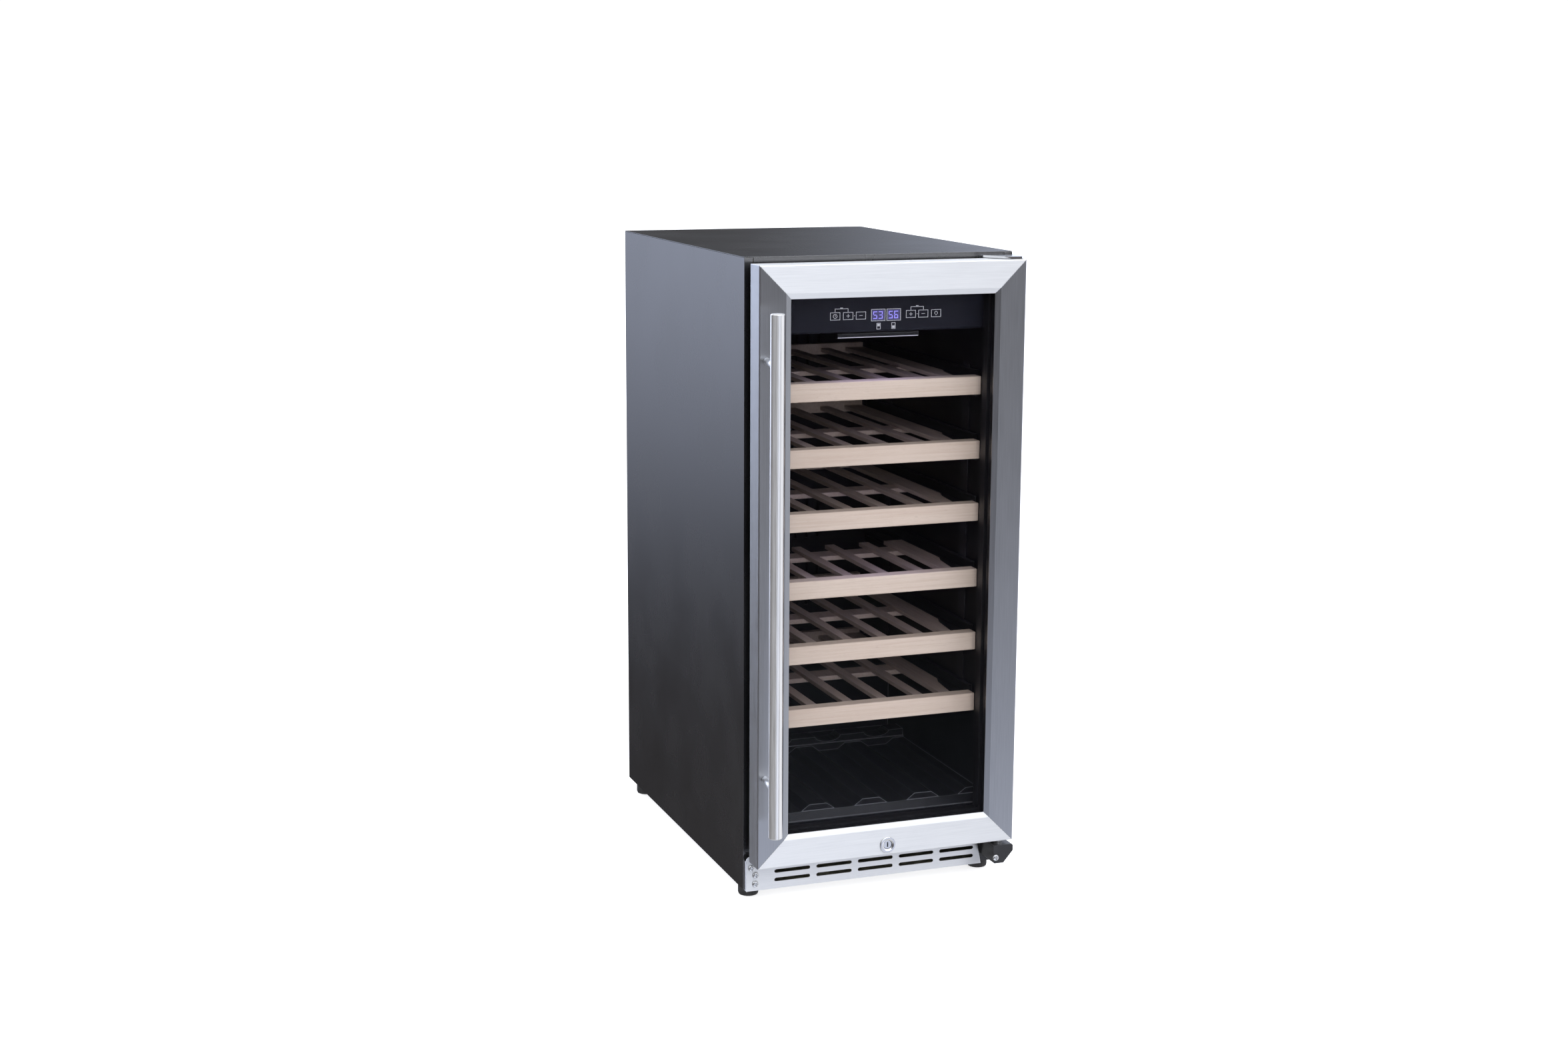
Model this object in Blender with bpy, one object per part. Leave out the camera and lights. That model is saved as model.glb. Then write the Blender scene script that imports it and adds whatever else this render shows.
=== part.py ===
"""Wine cooler: slim cabinet, framed glass door on right-hand pins, six slatted beech shelves.

Metres, +Z up. The door faces -Y, its hinges are at +X and its handle at -X.
The origin is on the floor, under the middle of the closed cooler's bounding box.
Depths are worked out from FRONT, the plane of the cabinet's front face.
"""
from math import asin, cos, pi, radians, sin

import bmesh
import bpy
from mathutils import Matrix, Vector

# Driving dimensions
WIDTH = 0.380
CABINET_DEPTH = 0.538
HEIGHT = 0.870
HANDLE_REACH = 0.0995
FRONT = HANDLE_REACH - (CABINET_DEPTH + HANDLE_REACH) / 2
REAR = FRONT + CABINET_DEPTH
HALF = WIDTH / 2
SHEET = 0.001
GAP = 0.0003

# Cabinet
SIDE_BOTTOM = 0.018
FLANGE = 0.012
TOP_FLANGE = 0.0084
CAVITY_HALF = 0.160
CAVITY_TOP = 0.833
CAVITY_REAR = FRONT + 0.480
SILL = 0.105
FLOOR = 0.115
STEP_Y = FRONT + 0.270
STEP_Z = 0.126
NECK_RIDGE = 0.010
NECK_WIDTH = 0.040
RIB_PITCH = 0.078
RIB_HEIGHT = 0.0085
HUMP_Y = FRONT + 0.330
HUMP_Z = 0.218
LINER_WALL = 0.002
FOAM_BOTTOM = 0.0625
MACHINE_Y = FRONT + 0.352
MACHINE_TOP = 0.190
MACHINE_COVER_TOP = 0.200
PAN_BOTTOM = 0.0205
PAN_SHEET = 0.0015

# Door
DOOR_HALF = 0.1873
DOOR_BOTTOM = 0.0619
DOOR_TOP = 0.8627
DOOR_FRONT = FRONT - 0.050
DOOR_WRAP = 0.0333
DOOR_SHEET = 0.0012
RAIL_WIDTH = 0.0438
LIP_START = 0.0365
LIP_DROP = 0.0023
GLASS_EDGE = 0.032
GLASS_FRONT = DOOR_FRONT + 0.0038
GLASS = 0.004
GLASS_UNIT = 0.018
HINGE_X = 0.173
HINGE_Y = FRONT - 0.033
PIN_RADIUS = 0.003
PIN_HOLE = 0.0036
HINGE_SHEET = 0.002
HINGE_PLATE_LEFT = 0.1405
HINGE_PLATE_RIGHT = 0.1870
HINGE_SCREW_X = 0.147
HINGE_SCREW_Z = DOOR_TOP - 0.0027

# Handle
HANDLE_X = -0.177
HANDLE_Y = FRONT - 0.090
HANDLE_RADIUS = 0.0095
HANDLE_BOTTOM = 0.118
HANDLE_TOP = 0.8055
POST_HEIGHTS = {"handle_post_upper": 0.741, "handle_post_lower": 0.186}

# Lock
LOCK_Z = 0.076
BARREL_RADIUS = 0.0095
PLUG_RADIUS = 0.006

# Kick plate
KICK_TOP = 0.066
KICK_BOTTOM = 0.017
KICK_FRONT = FRONT - 0.008
SLOT_LENGTH = 0.052
SLOT_HEIGHT = 0.005
SLOT_PITCH = 0.061
SLOT_ROWS = (0.0295, 0.0415)
KICK_SCREWS = ((-0.181, 0.0495), (-0.175, 0.039), (-0.1754, 0.0268))

# Shelves
SHELF_TOPS = (0.702, 0.614, 0.528, 0.436, 0.347, 0.260)
STRIP_HALF = 0.1525
STRIP_HEIGHT = 0.025
STRIP_FRONT = FRONT + 0.008
STRIP_REAR = FRONT + 0.028
SLAT_DROP = 0.0027
SLAT_THICK = 0.0055
SLAT_WIDTH = 0.014
SLAT_CENTRES = (-0.079, -0.0257, 0.0257, 0.079)
OUTER_SLAT_INNER = 0.111
OUTER_SLAT_EDGE = ((0.1265, STRIP_REAR + GAP), (0.1335, FRONT + 0.089), (0.1395, FRONT + 0.106))
CROSSBAR_Y = FRONT + 0.187
CROSSBAR_DEPTH = 0.034
CROSSBAR_HEIGHT = 0.006
CROSSBAR_OVERLAP = 0.0005
REAR_BOARD_DEPTH = 0.011
REAR_BOARD_RISE = 0.004
RACK_REAR = FRONT + 0.400
SHORT_RACK_REAR = FRONT + 0.240
SHORT_SHELF = 4
RUNNER_INNER = 0.1405
RUNNER_OUTER = 0.1545
RUNNER_HEIGHT = 0.010
CHANNEL_HEIGHT = 0.036
CHANNEL_SHEET = 0.0012
CHANNEL_WEB = 0.1588
CHANNEL_LIP = 0.1530
RAIL_STRAP = 0.0014
RAIL_STRAP_YS = (FRONT + 0.060, FRONT + 0.330)
RAIL_STRAP_WIDTH = 0.020

# Bottom hinge
ARM_TOP = 0.0558
ARM_BOTTOM = 0.030
BRACKET_SCREW = (0.1625, 0.0385)

# Cold air and machinery
FAN_Z = 0.560
CIRCULATION_FAN_Y = FRONT + 0.446
DUCT_Y = FRONT + 0.430
DUCT_SHEET = 0.003
DUCT_SLOT_ROWS = (0.3000, 0.4050, 0.6700)
DUCT_SLOT_HEIGHT = 0.065
DUCT_SLOT_PITCH = 0.018
DUCT_SLOT_HALF = 0.0025
DUCT_FAN_OPENING = 0.042
COMPRESSOR_X = 0.085
COMPRESSOR_Y = REAR - 0.092
CONDENSER_FAN = (-0.095, FRONT + 0.400, 0.105)
BLADE_SHEET = 0.0016
BLADE_LIFT = 0.42
BLADE_ROOT = 0.5
BLADE_TIP = 0.95

# Feet
FOOT_RADIUS = 0.014
FOOT_STUD = 0.004
FOOT_TOP = 0.0200
FOOT_X = 0.172
FOOT_FRONT_Y = FRONT + 0.030
FOOT_REAR_Y = REAR - 0.030


# Materials
def material(name, colour, roughness, metallic=0.0, alpha=1.0):
    made = bpy.data.materials.new(name)
    made.use_nodes = True
    shader = made.node_tree.nodes["Principled BSDF"]
    shader.inputs["Base Color"].default_value = (*colour, 1.0)
    shader.inputs["Roughness"].default_value = roughness
    shader.inputs["Metallic"].default_value = metallic
    shader.inputs["Alpha"].default_value = alpha
    return made


def make_materials():
    """Every surface, made once; the values are name, colour, roughness, metallic and alpha."""
    return {
        "painted": material("painted_steel", (0.16, 0.16, 0.18), 0.35, 0.6),
        "steel": material("brushed_steel", (0.62, 0.62, 0.62), 0.3, 1.0),
        "chrome": material("chrome", (0.75, 0.75, 0.76), 0.1, 1.0),
        "zinc": material("zinc_sheet", (0.5, 0.5, 0.5), 0.45, 1.0),
        "black": material("black_plastic", (0.012, 0.012, 0.014), 0.45),
        "rubber": material("black_rubber", (0.01, 0.01, 0.01), 0.8),
        "foam": material("foam", (0.75, 0.68, 0.42), 0.9),
        "glass": material("glass", (0.75, 0.8, 0.8), 0.03, 0.0, 0.25),
        "beech": material("beech", (0.55, 0.42, 0.3), 0.55),
        "panel": material("panel_film", (0.02, 0.02, 0.03), 0.2),
        "light": material("light_diffuser", (0.85, 0.85, 0.9), 0.4),
        "enamel": material("black_enamel", (0.015, 0.015, 0.015), 0.4),
    }


# Mesh helpers
def add_object(name, mesh_maker, surface, smooth=False):
    mesh = bpy.data.meshes.new(name)
    bmesh.ops.recalc_face_normals(mesh_maker, faces=mesh_maker.faces)
    mesh_maker.to_mesh(mesh)
    mesh_maker.free()
    made = bpy.data.objects.new(name, mesh)
    bpy.context.collection.objects.link(made)
    if surface is not None:
        mesh.materials.append(surface)
    if smooth:
        mesh.shade_smooth()
        mesh.set_sharp_from_angle(angle=radians(35))
    return made


def add_box(maker, x, y, z):
    """Adds a box that spans the three (low, high) pairs."""
    corners = []
    for height in z:
        for depth in y:
            for across in x:
                corners.append(maker.verts.new((across, depth, height)))
    sides = ((0, 2, 3, 1), (4, 5, 7, 6), (0, 1, 5, 4), (2, 6, 7, 3), (0, 4, 6, 2), (1, 3, 7, 5))
    for face in sides:
        maker.faces.new([corners[index] for index in face])


def add_prism(maker, outline, axis, low, high):
    """Extrudes a closed outline along X, Y or Z. The outline holds the other two coordinates in order."""
    ends = []
    for place in (low, high):
        ring = []
        for first, second in outline:
            point = [first, second]
            point.insert("XYZ".index(axis), place)
            ring.append(maker.verts.new(point))
        ends.append(ring)
    count = len(outline)
    maker.faces.new(ends[0])
    maker.faces.new(ends[1][::-1])
    for index in range(count):
        after = (index + 1) % count
        maker.faces.new((ends[0][index], ends[0][after], ends[1][after], ends[1][index]))


def add_turned(maker, profile, axis, centre, segments=24, closed=False):
    """Turns (radius, place along the axis) points about an axis through centre.

    An open profile starts and ends on the axis; a closed one makes a ring with a bore.
    """
    frames = {"X": ((0, 1, 0), (0, 0, 1), (1, 0, 0)),
              "Y": ((0, 0, 1), (1, 0, 0), (0, 1, 0)),
              "Z": ((1, 0, 0), (0, 1, 0), (0, 0, 1))}
    across, up, along = (Vector(direction) for direction in frames[axis])
    centre = Vector(centre)
    rings = []
    for radius, place in profile:
        middle = centre + along * place
        if radius == 0:
            rings.append([maker.verts.new(middle)])
            continue
        ring = []
        for step in range(segments):
            angle = 2 * pi * step / segments
            ring.append(maker.verts.new(middle + across * radius * cos(angle) + up * radius * sin(angle)))
        rings.append(ring)
    pairs = list(zip(rings, rings[1:]))
    if closed:
        pairs.append((rings[-1], rings[0]))
    for one, two in pairs:
        for step in range(segments):
            after = (step + 1) % segments
            if len(one) == 1:
                maker.faces.new((one[0], two[after], two[step]))
            elif len(two) == 1:
                maker.faces.new((one[step], one[after], two[0]))
            else:
                maker.faces.new((one[step], one[after], two[after], two[step]))


def add_frame_ring(maker, half_width, bottom, top, section):
    """Sweeps a closed section around a rectangle. A point is (distance inwards from the edge, y)."""
    corners = ((-1, 0), (1, 0), (1, 1), (-1, 1))
    rings = []
    for side, upper in corners:
        ring = []
        for inwards, depth in section:
            height = top - inwards if upper else bottom + inwards
            ring.append(maker.verts.new((side * (half_width - inwards), depth, height)))
        rings.append(ring)
    count = len(section)
    for corner in range(4):
        one = rings[corner]
        two = rings[(corner + 1) % 4]
        for index in range(count):
            after = (index + 1) % count
            maker.faces.new((one[index], one[after], two[after], two[index]))


def round_slot(centre_x, centre_z, length, height, steps=4):
    """Outline of a slot with round ends, long along X."""
    radius = height / 2
    outline = []
    for end in (1, -1):
        for step in range(steps + 1):
            angle = -pi / 2 + pi * step / steps
            across = end * (length / 2 - radius + radius * cos(angle))
            outline.append((centre_x + across, centre_z + end * radius * sin(angle)))
    return outline


def rounded_rectangle(low, high, radius, steps=3):
    """Outline of a rectangle with round corners."""
    outline = []
    corners = ((high[0], high[1], 0), (low[0], high[1], 1), (low[0], low[1], 2), (high[0], low[1], 3))
    for first, second, quarter in corners:
        middle_first = first - radius if first == high[0] else first + radius
        middle_second = second - radius if second == high[1] else second + radius
        for step in range(steps + 1):
            angle = pi / 2 * (quarter + step / steps)
            outline.append((middle_first + radius * cos(angle), middle_second + radius * sin(angle)))
    return outline


def combine(target, maker, name, operation):
    """Adds a hidden tool object and a Boolean that uses it."""
    tool = add_object(name, maker, None)
    tool.hide_render = True
    tool.display_type = "WIRE"
    boolean = target.modifiers.new(name, "BOOLEAN")
    boolean.operation = operation
    boolean.solver = "EXACT"
    boolean.use_self = operation == "UNION"
    boolean.object = tool


def cut(target, maker, name):
    combine(target, maker, name, "DIFFERENCE")


def weld(target, maker, name):
    combine(target, maker, name, "UNION")


def soften(target, width, segments=2):
    bevel = target.modifiers.new("soft_edges", "BEVEL")
    bevel.width = width
    bevel.segments = segments
    bevel.limit_method = "ANGLE"
    bevel.angle_limit = radians(40)


def hang_on(pivot, members):
    """Parents objects to an empty on their joint's axis and moves their origins there."""
    for member in members:
        member.data.transform(Matrix.Translation(-pivot.location))
        member.parent = pivot
        for modifier in member.modifiers:
            if modifier.type == "BOOLEAN":
                modifier.object.data.transform(Matrix.Translation(-pivot.location))
                modifier.object.parent = pivot


def add_pivot(name, place):
    pivot = bpy.data.objects.new(name, None)
    pivot.location = place
    bpy.context.collection.objects.link(pivot)
    return pivot


# Cabinet shell
def side_panel(side, surface):
    """One side: a sheet with a narrow flange turned in at the front."""
    inner = HALF - SHEET
    outline = [(side * HALF, FRONT), (side * HALF, REAR), (side * inner, REAR),
               (side * inner, FRONT + SHEET), (side * (HALF - FLANGE), FRONT + SHEET),
               (side * (HALF - FLANGE), FRONT)]
    maker = bmesh.new()
    add_prism(maker, outline, "Z", SIDE_BOTTOM, HEIGHT - SHEET - GAP)
    name = "left_side_panel" if side < 0 else "right_side_panel"
    return add_object(name, maker, surface)


def top_panel(surface):
    """The lid: its front edge rolls over into a shallow flange between the side flanges."""
    maker = bmesh.new()
    add_box(maker, (-HALF, HALF), (FRONT, REAR), (HEIGHT - SHEET, HEIGHT))
    panel = add_object("top_panel", maker, surface)
    maker = bmesh.new()
    half = HALF - FLANGE - 2 * GAP
    flange_height = (HEIGHT - TOP_FLANGE, HEIGHT - SHEET / 2)
    add_box(maker, (-half, half), (FRONT, FRONT + SHEET), flange_height)
    weld(panel, maker, "top_panel_flange")
    return panel


def rear_panel(surface):
    maker = bmesh.new()
    half = HALF - SHEET - GAP
    height = (MACHINE_COVER_TOP + GAP, HEIGHT - SHEET - GAP)
    add_box(maker, (-half, half), (REAR - SHEET, REAR), height)
    return add_object("rear_panel", maker, surface)


def machine_cover(surface):
    """Lower rear cover with upright air slots and a square hole for the power inlet."""
    maker = bmesh.new()
    half = HALF - SHEET - GAP
    add_box(maker, (-half, half), (REAR - SHEET, REAR), (PAN_BOTTOM, MACHINE_COVER_TOP))
    cover = add_object("machine_cover", maker, surface)
    maker = bmesh.new()
    for index in range(10):
        middle = -0.150 + 0.016 * index
        add_box(maker, (middle - 0.003, middle + 0.003), (REAR - 0.01, REAR + 0.01), (0.060, 0.165))
    add_box(maker, (0.0995, 0.1305), (REAR - 0.01, REAR + 0.01), (0.0495, 0.0755))
    cut(cover, maker, "machine_cover_holes")
    return cover


def base_pan(surface):
    """Steel tray that carries the machinery; its long edges turn up against the side panels."""
    outer = HALF - SHEET - GAP
    inner = outer - PAN_SHEET
    edge = PAN_BOTTOM + 0.020
    outline = [(-outer, PAN_BOTTOM), (outer, PAN_BOTTOM), (outer, edge), (inner, edge),
               (inner, PAN_BOTTOM + PAN_SHEET), (-inner, PAN_BOTTOM + PAN_SHEET), (-inner, edge),
               (-outer, edge)]
    maker = bmesh.new()
    add_prism(maker, outline, "Y", FRONT + 0.004, REAR - SHEET - GAP)
    pan = add_object("base_pan", maker, surface)
    maker = bmesh.new()
    for x in (-FOOT_X, FOOT_X):
        for y in (FOOT_FRONT_Y, FOOT_REAR_Y):
            add_turned(maker, [(0, 0), (FOOT_STUD + GAP, 0), (FOOT_STUD + GAP, 0.02), (0, 0.02)], "Z",
                       (x, y, PAN_BOTTOM - 0.01), 16)
    cut(pan, maker, "base_pan_foot_holes")
    return pan


def cavity_outline(grow, mouth):
    """Side view (y, z) of the cavity, made larger all round by grow and open at y = mouth."""
    lip = FLOOR - SILL
    outline = [(FRONT + lip, FLOOR - grow), (STEP_Y + grow, FLOOR - grow), (STEP_Y + grow, STEP_Z - grow),
               (HUMP_Y + grow, STEP_Z - grow), (HUMP_Y + grow, HUMP_Z - grow),
               (CAVITY_REAR + grow, HUMP_Z - grow), (CAVITY_REAR + grow, CAVITY_TOP + grow),
               (mouth, CAVITY_TOP + grow)]
    if mouth < FRONT:
        return [(mouth, SILL - grow), (FRONT, SILL - grow)] + outline
    return [(mouth, SILL - grow + mouth - FRONT)] + outline


def neck_ridge_outline():
    """Front view (x, z) of the ridge on the step, hollowed where bottle necks rest."""
    half = CAVITY_HALF + LINER_WALL / 2
    top = STEP_Z + NECK_RIDGE
    outline = [(-half, STEP_Z - LINER_WALL / 2), (half, STEP_Z - LINER_WALL / 2), (half, top)]
    for middle in (0.117, 0.039, -0.039, -0.117):
        for step in range(9):
            angle = pi * step / 8
            outline.append((middle + NECK_WIDTH / 2 * cos(angle), top - 0.008 * sin(angle)))
    outline.append((-half, top))
    return outline


def inner_liner(surface):
    """Thermoformed liner: a shell round the cavity, a front flange, and ribs that cradle bottles."""
    side = CAVITY_HALF + LINER_WALL
    maker = bmesh.new()
    add_prism(maker, cavity_outline(LINER_WALL, FRONT + LINER_WALL / 2), "X", -side, side)
    liner = add_object("inner_liner", maker, surface)
    maker = bmesh.new()
    half = HALF - FLANGE - 2 * GAP
    flange_height = (KICK_TOP - 0.008, HEIGHT - TOP_FLANGE - GAP)
    add_box(maker, (-half, half), (FRONT, FRONT + LINER_WALL), flange_height)
    weld(liner, maker, "liner_flange")
    maker = bmesh.new()
    add_prism(maker, cavity_outline(0.0, FRONT - 0.02), "X", -CAVITY_HALF, CAVITY_HALF)
    cut(liner, maker, "liner_cavity")
    maker = bmesh.new()
    low = FLOOR - LINER_WALL / 2
    high = FLOOR + RIB_HEIGHT
    for middle in (-RIB_PITCH, 0.0, RIB_PITCH):
        rib = [(middle - 0.026, low), (middle + 0.026, low), (middle + 0.0125, high),
               (middle - 0.0125, high)]
        add_prism(maker, rib, "Y", FRONT + 0.011, STEP_Y + LINER_WALL / 2)
    for side in (-1, 1):
        wall = side * (CAVITY_HALF + LINER_WALL / 2)
        rib = [(side * 0.130, low), (wall, low), (wall, high), (side * 0.1435, high)]
        add_prism(maker, rib, "Y", FRONT + 0.011, STEP_Y + LINER_WALL / 2)
    add_prism(maker, neck_ridge_outline(), "Y", STEP_Y + 0.002, STEP_Y + 0.030)
    weld(liner, maker, "liner_ribs")
    return liner


def foam_insulation(surface):
    maker = bmesh.new()
    half = HALF - SHEET - GAP
    add_box(maker, (-half, half), (FRONT + LINER_WALL + 2 * GAP, REAR - SHEET - GAP),
            (FOAM_BOTTOM, HEIGHT - SHEET - 0.0035))
    foam = add_object("foam_insulation", maker, surface)
    maker = bmesh.new()
    grow = LINER_WALL + GAP
    side = CAVITY_HALF + grow
    add_prism(maker, cavity_outline(grow, FRONT - 0.02), "X", -side, side)
    cut(foam, maker, "foam_cavity")
    maker = bmesh.new()
    add_box(maker, (-HALF, HALF), (MACHINE_Y, REAR + 0.01), (FOAM_BOTTOM - 0.01, MACHINE_TOP))
    cut(foam, maker, "foam_machine_space")
    return foam


# Front trim
def kick_plate(surface):
    """Vented kick plate: slanted right end, rounded top left corner, edges turned back."""
    left = -HALF + 0.0015
    corner = 0.006
    outline = [(left, KICK_BOTTOM), (0.1600, KICK_BOTTOM), (0.1510, KICK_TOP - 0.004)]
    outline += [(-0.160, KICK_TOP - 0.004), (-0.166, KICK_TOP), (left + corner, KICK_TOP)]
    for step in range(1, 5):
        angle = pi / 2 + pi / 2 * step / 4
        outline.append((left + corner + corner * cos(angle), KICK_TOP - corner + corner * sin(angle)))
    maker = bmesh.new()
    add_prism(maker, outline, "Y", KICK_FRONT, KICK_FRONT + SHEET)
    plate = add_object("kick_plate", maker, surface)
    maker = bmesh.new()
    back = (KICK_FRONT + SHEET / 2, FRONT - GAP)
    add_box(maker, (left + 0.0002, left + SHEET), back, (KICK_BOTTOM + 0.0002, KICK_TOP - corner - 0.001))
    add_box(maker, (left + 0.0005, 0.150), back, (KICK_BOTTOM + 0.0002, KICK_BOTTOM + SHEET))
    weld(plate, maker, "kick_plate_returns")
    maker = bmesh.new()
    for row in SLOT_ROWS:
        for column in range(-2, 3):
            outline = round_slot(column * SLOT_PITCH, row, SLOT_LENGTH, SLOT_HEIGHT)
            add_prism(maker, outline, "Y", KICK_FRONT - 0.004, KICK_FRONT + 0.004)
    for x, z in KICK_SCREWS:
        hole = [(0, 0), (0.002, 0), (0.002, 0.008), (0, 0.008)]
        add_turned(maker, hole, "Y", (x, KICK_FRONT - 0.004, z), 12)
    cut(plate, maker, "kick_plate_holes")
    return plate


def pan_head_screw(name, x, face_y, z, length, surface, radius=0.0045):
    """Pan-head screw whose head stands in front of the face at face_y; a cross is cut in the head."""
    head = 0.0024
    profile = [(0, -head), (radius * 0.55, -head), (radius * 0.85, -head * 0.8), (radius, -head * 0.35),
               (radius, 0), (0.0016, 0), (0.0016, length), (0, length)]
    maker = bmesh.new()
    add_turned(maker, profile, "Y", (x, face_y - GAP, z), 14)
    screw = add_object(name, maker, surface, smooth=True)
    maker = bmesh.new()
    long_side = radius * 0.6
    narrow = radius * 0.13
    cross = [(narrow, narrow), (narrow, long_side), (-narrow, long_side), (-narrow, narrow),
             (-long_side, narrow), (-long_side, -narrow), (-narrow, -narrow), (-narrow, -long_side),
             (narrow, -long_side), (narrow, -narrow), (long_side, -narrow), (long_side, narrow)]
    outline = [(x + across, z + up) for across, up in cross]
    add_prism(maker, outline, "Y", face_y - GAP - head - 0.001, face_y - GAP - head + 0.0012)
    cut(screw, maker, name + "_cross")
    return screw


def top_hinge_plate(surface):
    """Angle bracket: its flange is screwed to the cabinet front and its tongue holds the door's pin."""
    low = DOOR_TOP + 0.0008
    high = low + 0.003
    tongue = [(HINGE_PLATE_LEFT, FRONT - GAP), (HINGE_PLATE_LEFT, FRONT - 0.014), (0.166, FRONT - 0.046),
              (0.181, FRONT - 0.0485), (HINGE_PLATE_RIGHT, FRONT - 0.042), (HINGE_PLATE_RIGHT, FRONT - GAP)]
    maker = bmesh.new()
    add_prism(maker, tongue, "Z", low, high)
    plate = add_object("top_hinge_plate", maker, surface)
    maker = bmesh.new()
    add_box(maker, (HINGE_PLATE_LEFT, HINGE_PLATE_RIGHT), (FRONT - GAP - HINGE_SHEET, FRONT - GAP),
            (DOOR_TOP - 0.0055, low + 0.001))
    weld(plate, maker, "top_hinge_flange")
    maker = bmesh.new()
    pin = [(0, -0.0135), (PIN_RADIUS - 0.0006, -0.0135), (PIN_RADIUS, -0.0125), (PIN_RADIUS, 0.002),
           (0, 0.002)]
    add_turned(maker, pin, "Z", (HINGE_X, HINGE_Y, low), 16)
    weld(plate, maker, "top_hinge_pin")
    maker = bmesh.new()
    hole = [(0, 0), (0.0019, 0), (0.0019, 0.008), (0, 0.008)]
    add_turned(maker, hole, "Y", (HINGE_SCREW_X, FRONT - 0.006, HINGE_SCREW_Z), 12)
    cut(plate, maker, "top_hinge_screw_hole")
    return plate


def bottom_hinge_bracket(surface):
    """Black bracket: a foot plate on the cabinet front and an arm that reaches out under the door."""
    maker = bmesh.new()
    arm = [(0.1590, ARM_BOTTOM + 0.002), (0.1610, ARM_BOTTOM), (0.1745, ARM_BOTTOM), (0.1886, 0.0465),
           (0.1886, ARM_TOP - 0.002), (0.1866, ARM_TOP), (0.1610, ARM_TOP), (0.1590, ARM_TOP - 0.002)]
    add_prism(maker, arm, "Y", DOOR_FRONT, FRONT - 0.002)
    bracket = add_object("bottom_hinge_bracket", maker, surface)
    maker = bmesh.new()
    foot = [(0.1535, SIDE_BOTTOM + 0.001), (0.1886, SIDE_BOTTOM + 0.001), (0.1886, KICK_TOP),
            (0.1535, KICK_TOP)]
    add_prism(maker, foot, "Y", FRONT - 0.0045, FRONT - GAP)
    weld(bracket, maker, "bottom_hinge_foot")
    maker = bmesh.new()
    add_turned(maker, [(0, 0), (PIN_RADIUS + GAP, 0), (PIN_RADIUS + GAP, 0.02), (0, 0.02)], "Z",
               (HINGE_X, HINGE_Y, ARM_TOP - 0.012), 16)
    add_turned(maker, [(0, 0), (0.0019, 0), (0.0019, 0.02), (0, 0.02)], "Y",
               (BRACKET_SCREW[0], DOOR_FRONT - 0.010, BRACKET_SCREW[1]), 12)
    cut(bracket, maker, "bottom_hinge_holes")
    return bracket


def bottom_hinge_pin(surface):
    """Pin with a collar that carries the door."""
    collar = 0.006
    profile = [(0, -0.0115), (PIN_RADIUS, -0.0115), (PIN_RADIUS, GAP), (collar, GAP),
               (collar, DOOR_BOTTOM - GAP - ARM_TOP), (PIN_RADIUS, DOOR_BOTTOM - GAP - ARM_TOP),
               (PIN_RADIUS, 0.017), (PIN_RADIUS - 0.001, 0.018), (0, 0.018)]
    maker = bmesh.new()
    add_turned(maker, profile, "Z", (HINGE_X, HINGE_Y, ARM_TOP), 16)
    return add_object("bottom_hinge_pin", maker, surface, smooth=True)


def control_panel(surface):
    """Touch panel across the top of the cavity."""
    maker = bmesh.new()
    half = CAVITY_HALF - 2 * GAP
    outline = [(FRONT + 0.0010, 0.7705), (FRONT + 0.0030, 0.7680), (FRONT + 0.0240, 0.7680),
               (FRONT + 0.0240, 0.8230), (FRONT + 0.0010, 0.8230)]
    add_prism(maker, outline, "X", -half, half)
    return add_object("control_panel", maker, surface)


def light_strip(surface):
    maker = bmesh.new()
    outline = rounded_rectangle((FRONT + 0.006, 0.7595), (FRONT + 0.016, 0.7677), 0.003, 3)
    add_prism(maker, outline, "X", -0.058, 0.058)
    return add_object("light_strip", maker, surface)


# Cold air and machinery pieces
def evaporator_cover(surface):
    """Duct cover on the rear wall, with upright louvre slots and a round fan opening."""
    maker = bmesh.new()
    half = CAVITY_HALF - 2 * GAP
    add_box(maker, (-half, half), (DUCT_Y, DUCT_Y + DUCT_SHEET), (HUMP_Z + 2 * GAP, CAVITY_TOP - 0.010))
    cover = add_object("evaporator_cover", maker, surface)
    maker = bmesh.new()
    through = (DUCT_Y - 0.010, DUCT_Y + 0.010)
    for row in DUCT_SLOT_ROWS:
        for index in range(10):
            middle = DUCT_SLOT_PITCH * (index - 4.5)
            add_box(maker, (middle - DUCT_SLOT_HALF, middle + DUCT_SLOT_HALF), through,
                    (row, row + DUCT_SLOT_HEIGHT))
    opening = [(0, 0), (DUCT_FAN_OPENING, 0), (DUCT_FAN_OPENING, 0.02), (0, 0.02)]
    add_turned(maker, opening, "Y", (0, DUCT_Y - 0.010, FAN_Z), 28)
    cut(cover, maker, "evaporator_cover_openings")
    return cover


def evaporator_coil(surface):
    """Finned evaporator block; a motor boss in front of it carries the fan."""
    maker = bmesh.new()
    add_box(maker, (-0.120, 0.120), (FRONT + 0.462, FRONT + 0.478), (0.480, 0.640))
    coil = add_object("evaporator_coil", maker, surface)
    maker = bmesh.new()
    add_turned(maker, [(0, 0), (0.016, 0), (0.016, 0.012), (0, 0.012)], "Y", (0, FRONT + 0.4546, FAN_Z), 20)
    weld(coil, maker, "evaporator_motor_boss")
    maker = bmesh.new()
    for index in range(11):
        height = 0.4895 + 0.0135 * index
        if abs(height + 0.003 - FAN_Z) < 0.024:
            continue
        add_box(maker, (-0.13, 0.13), (FRONT + 0.455, FRONT + 0.4735), (height, height + 0.006))
    cut(coil, maker, "evaporator_fin_gaps")
    return coil


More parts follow.
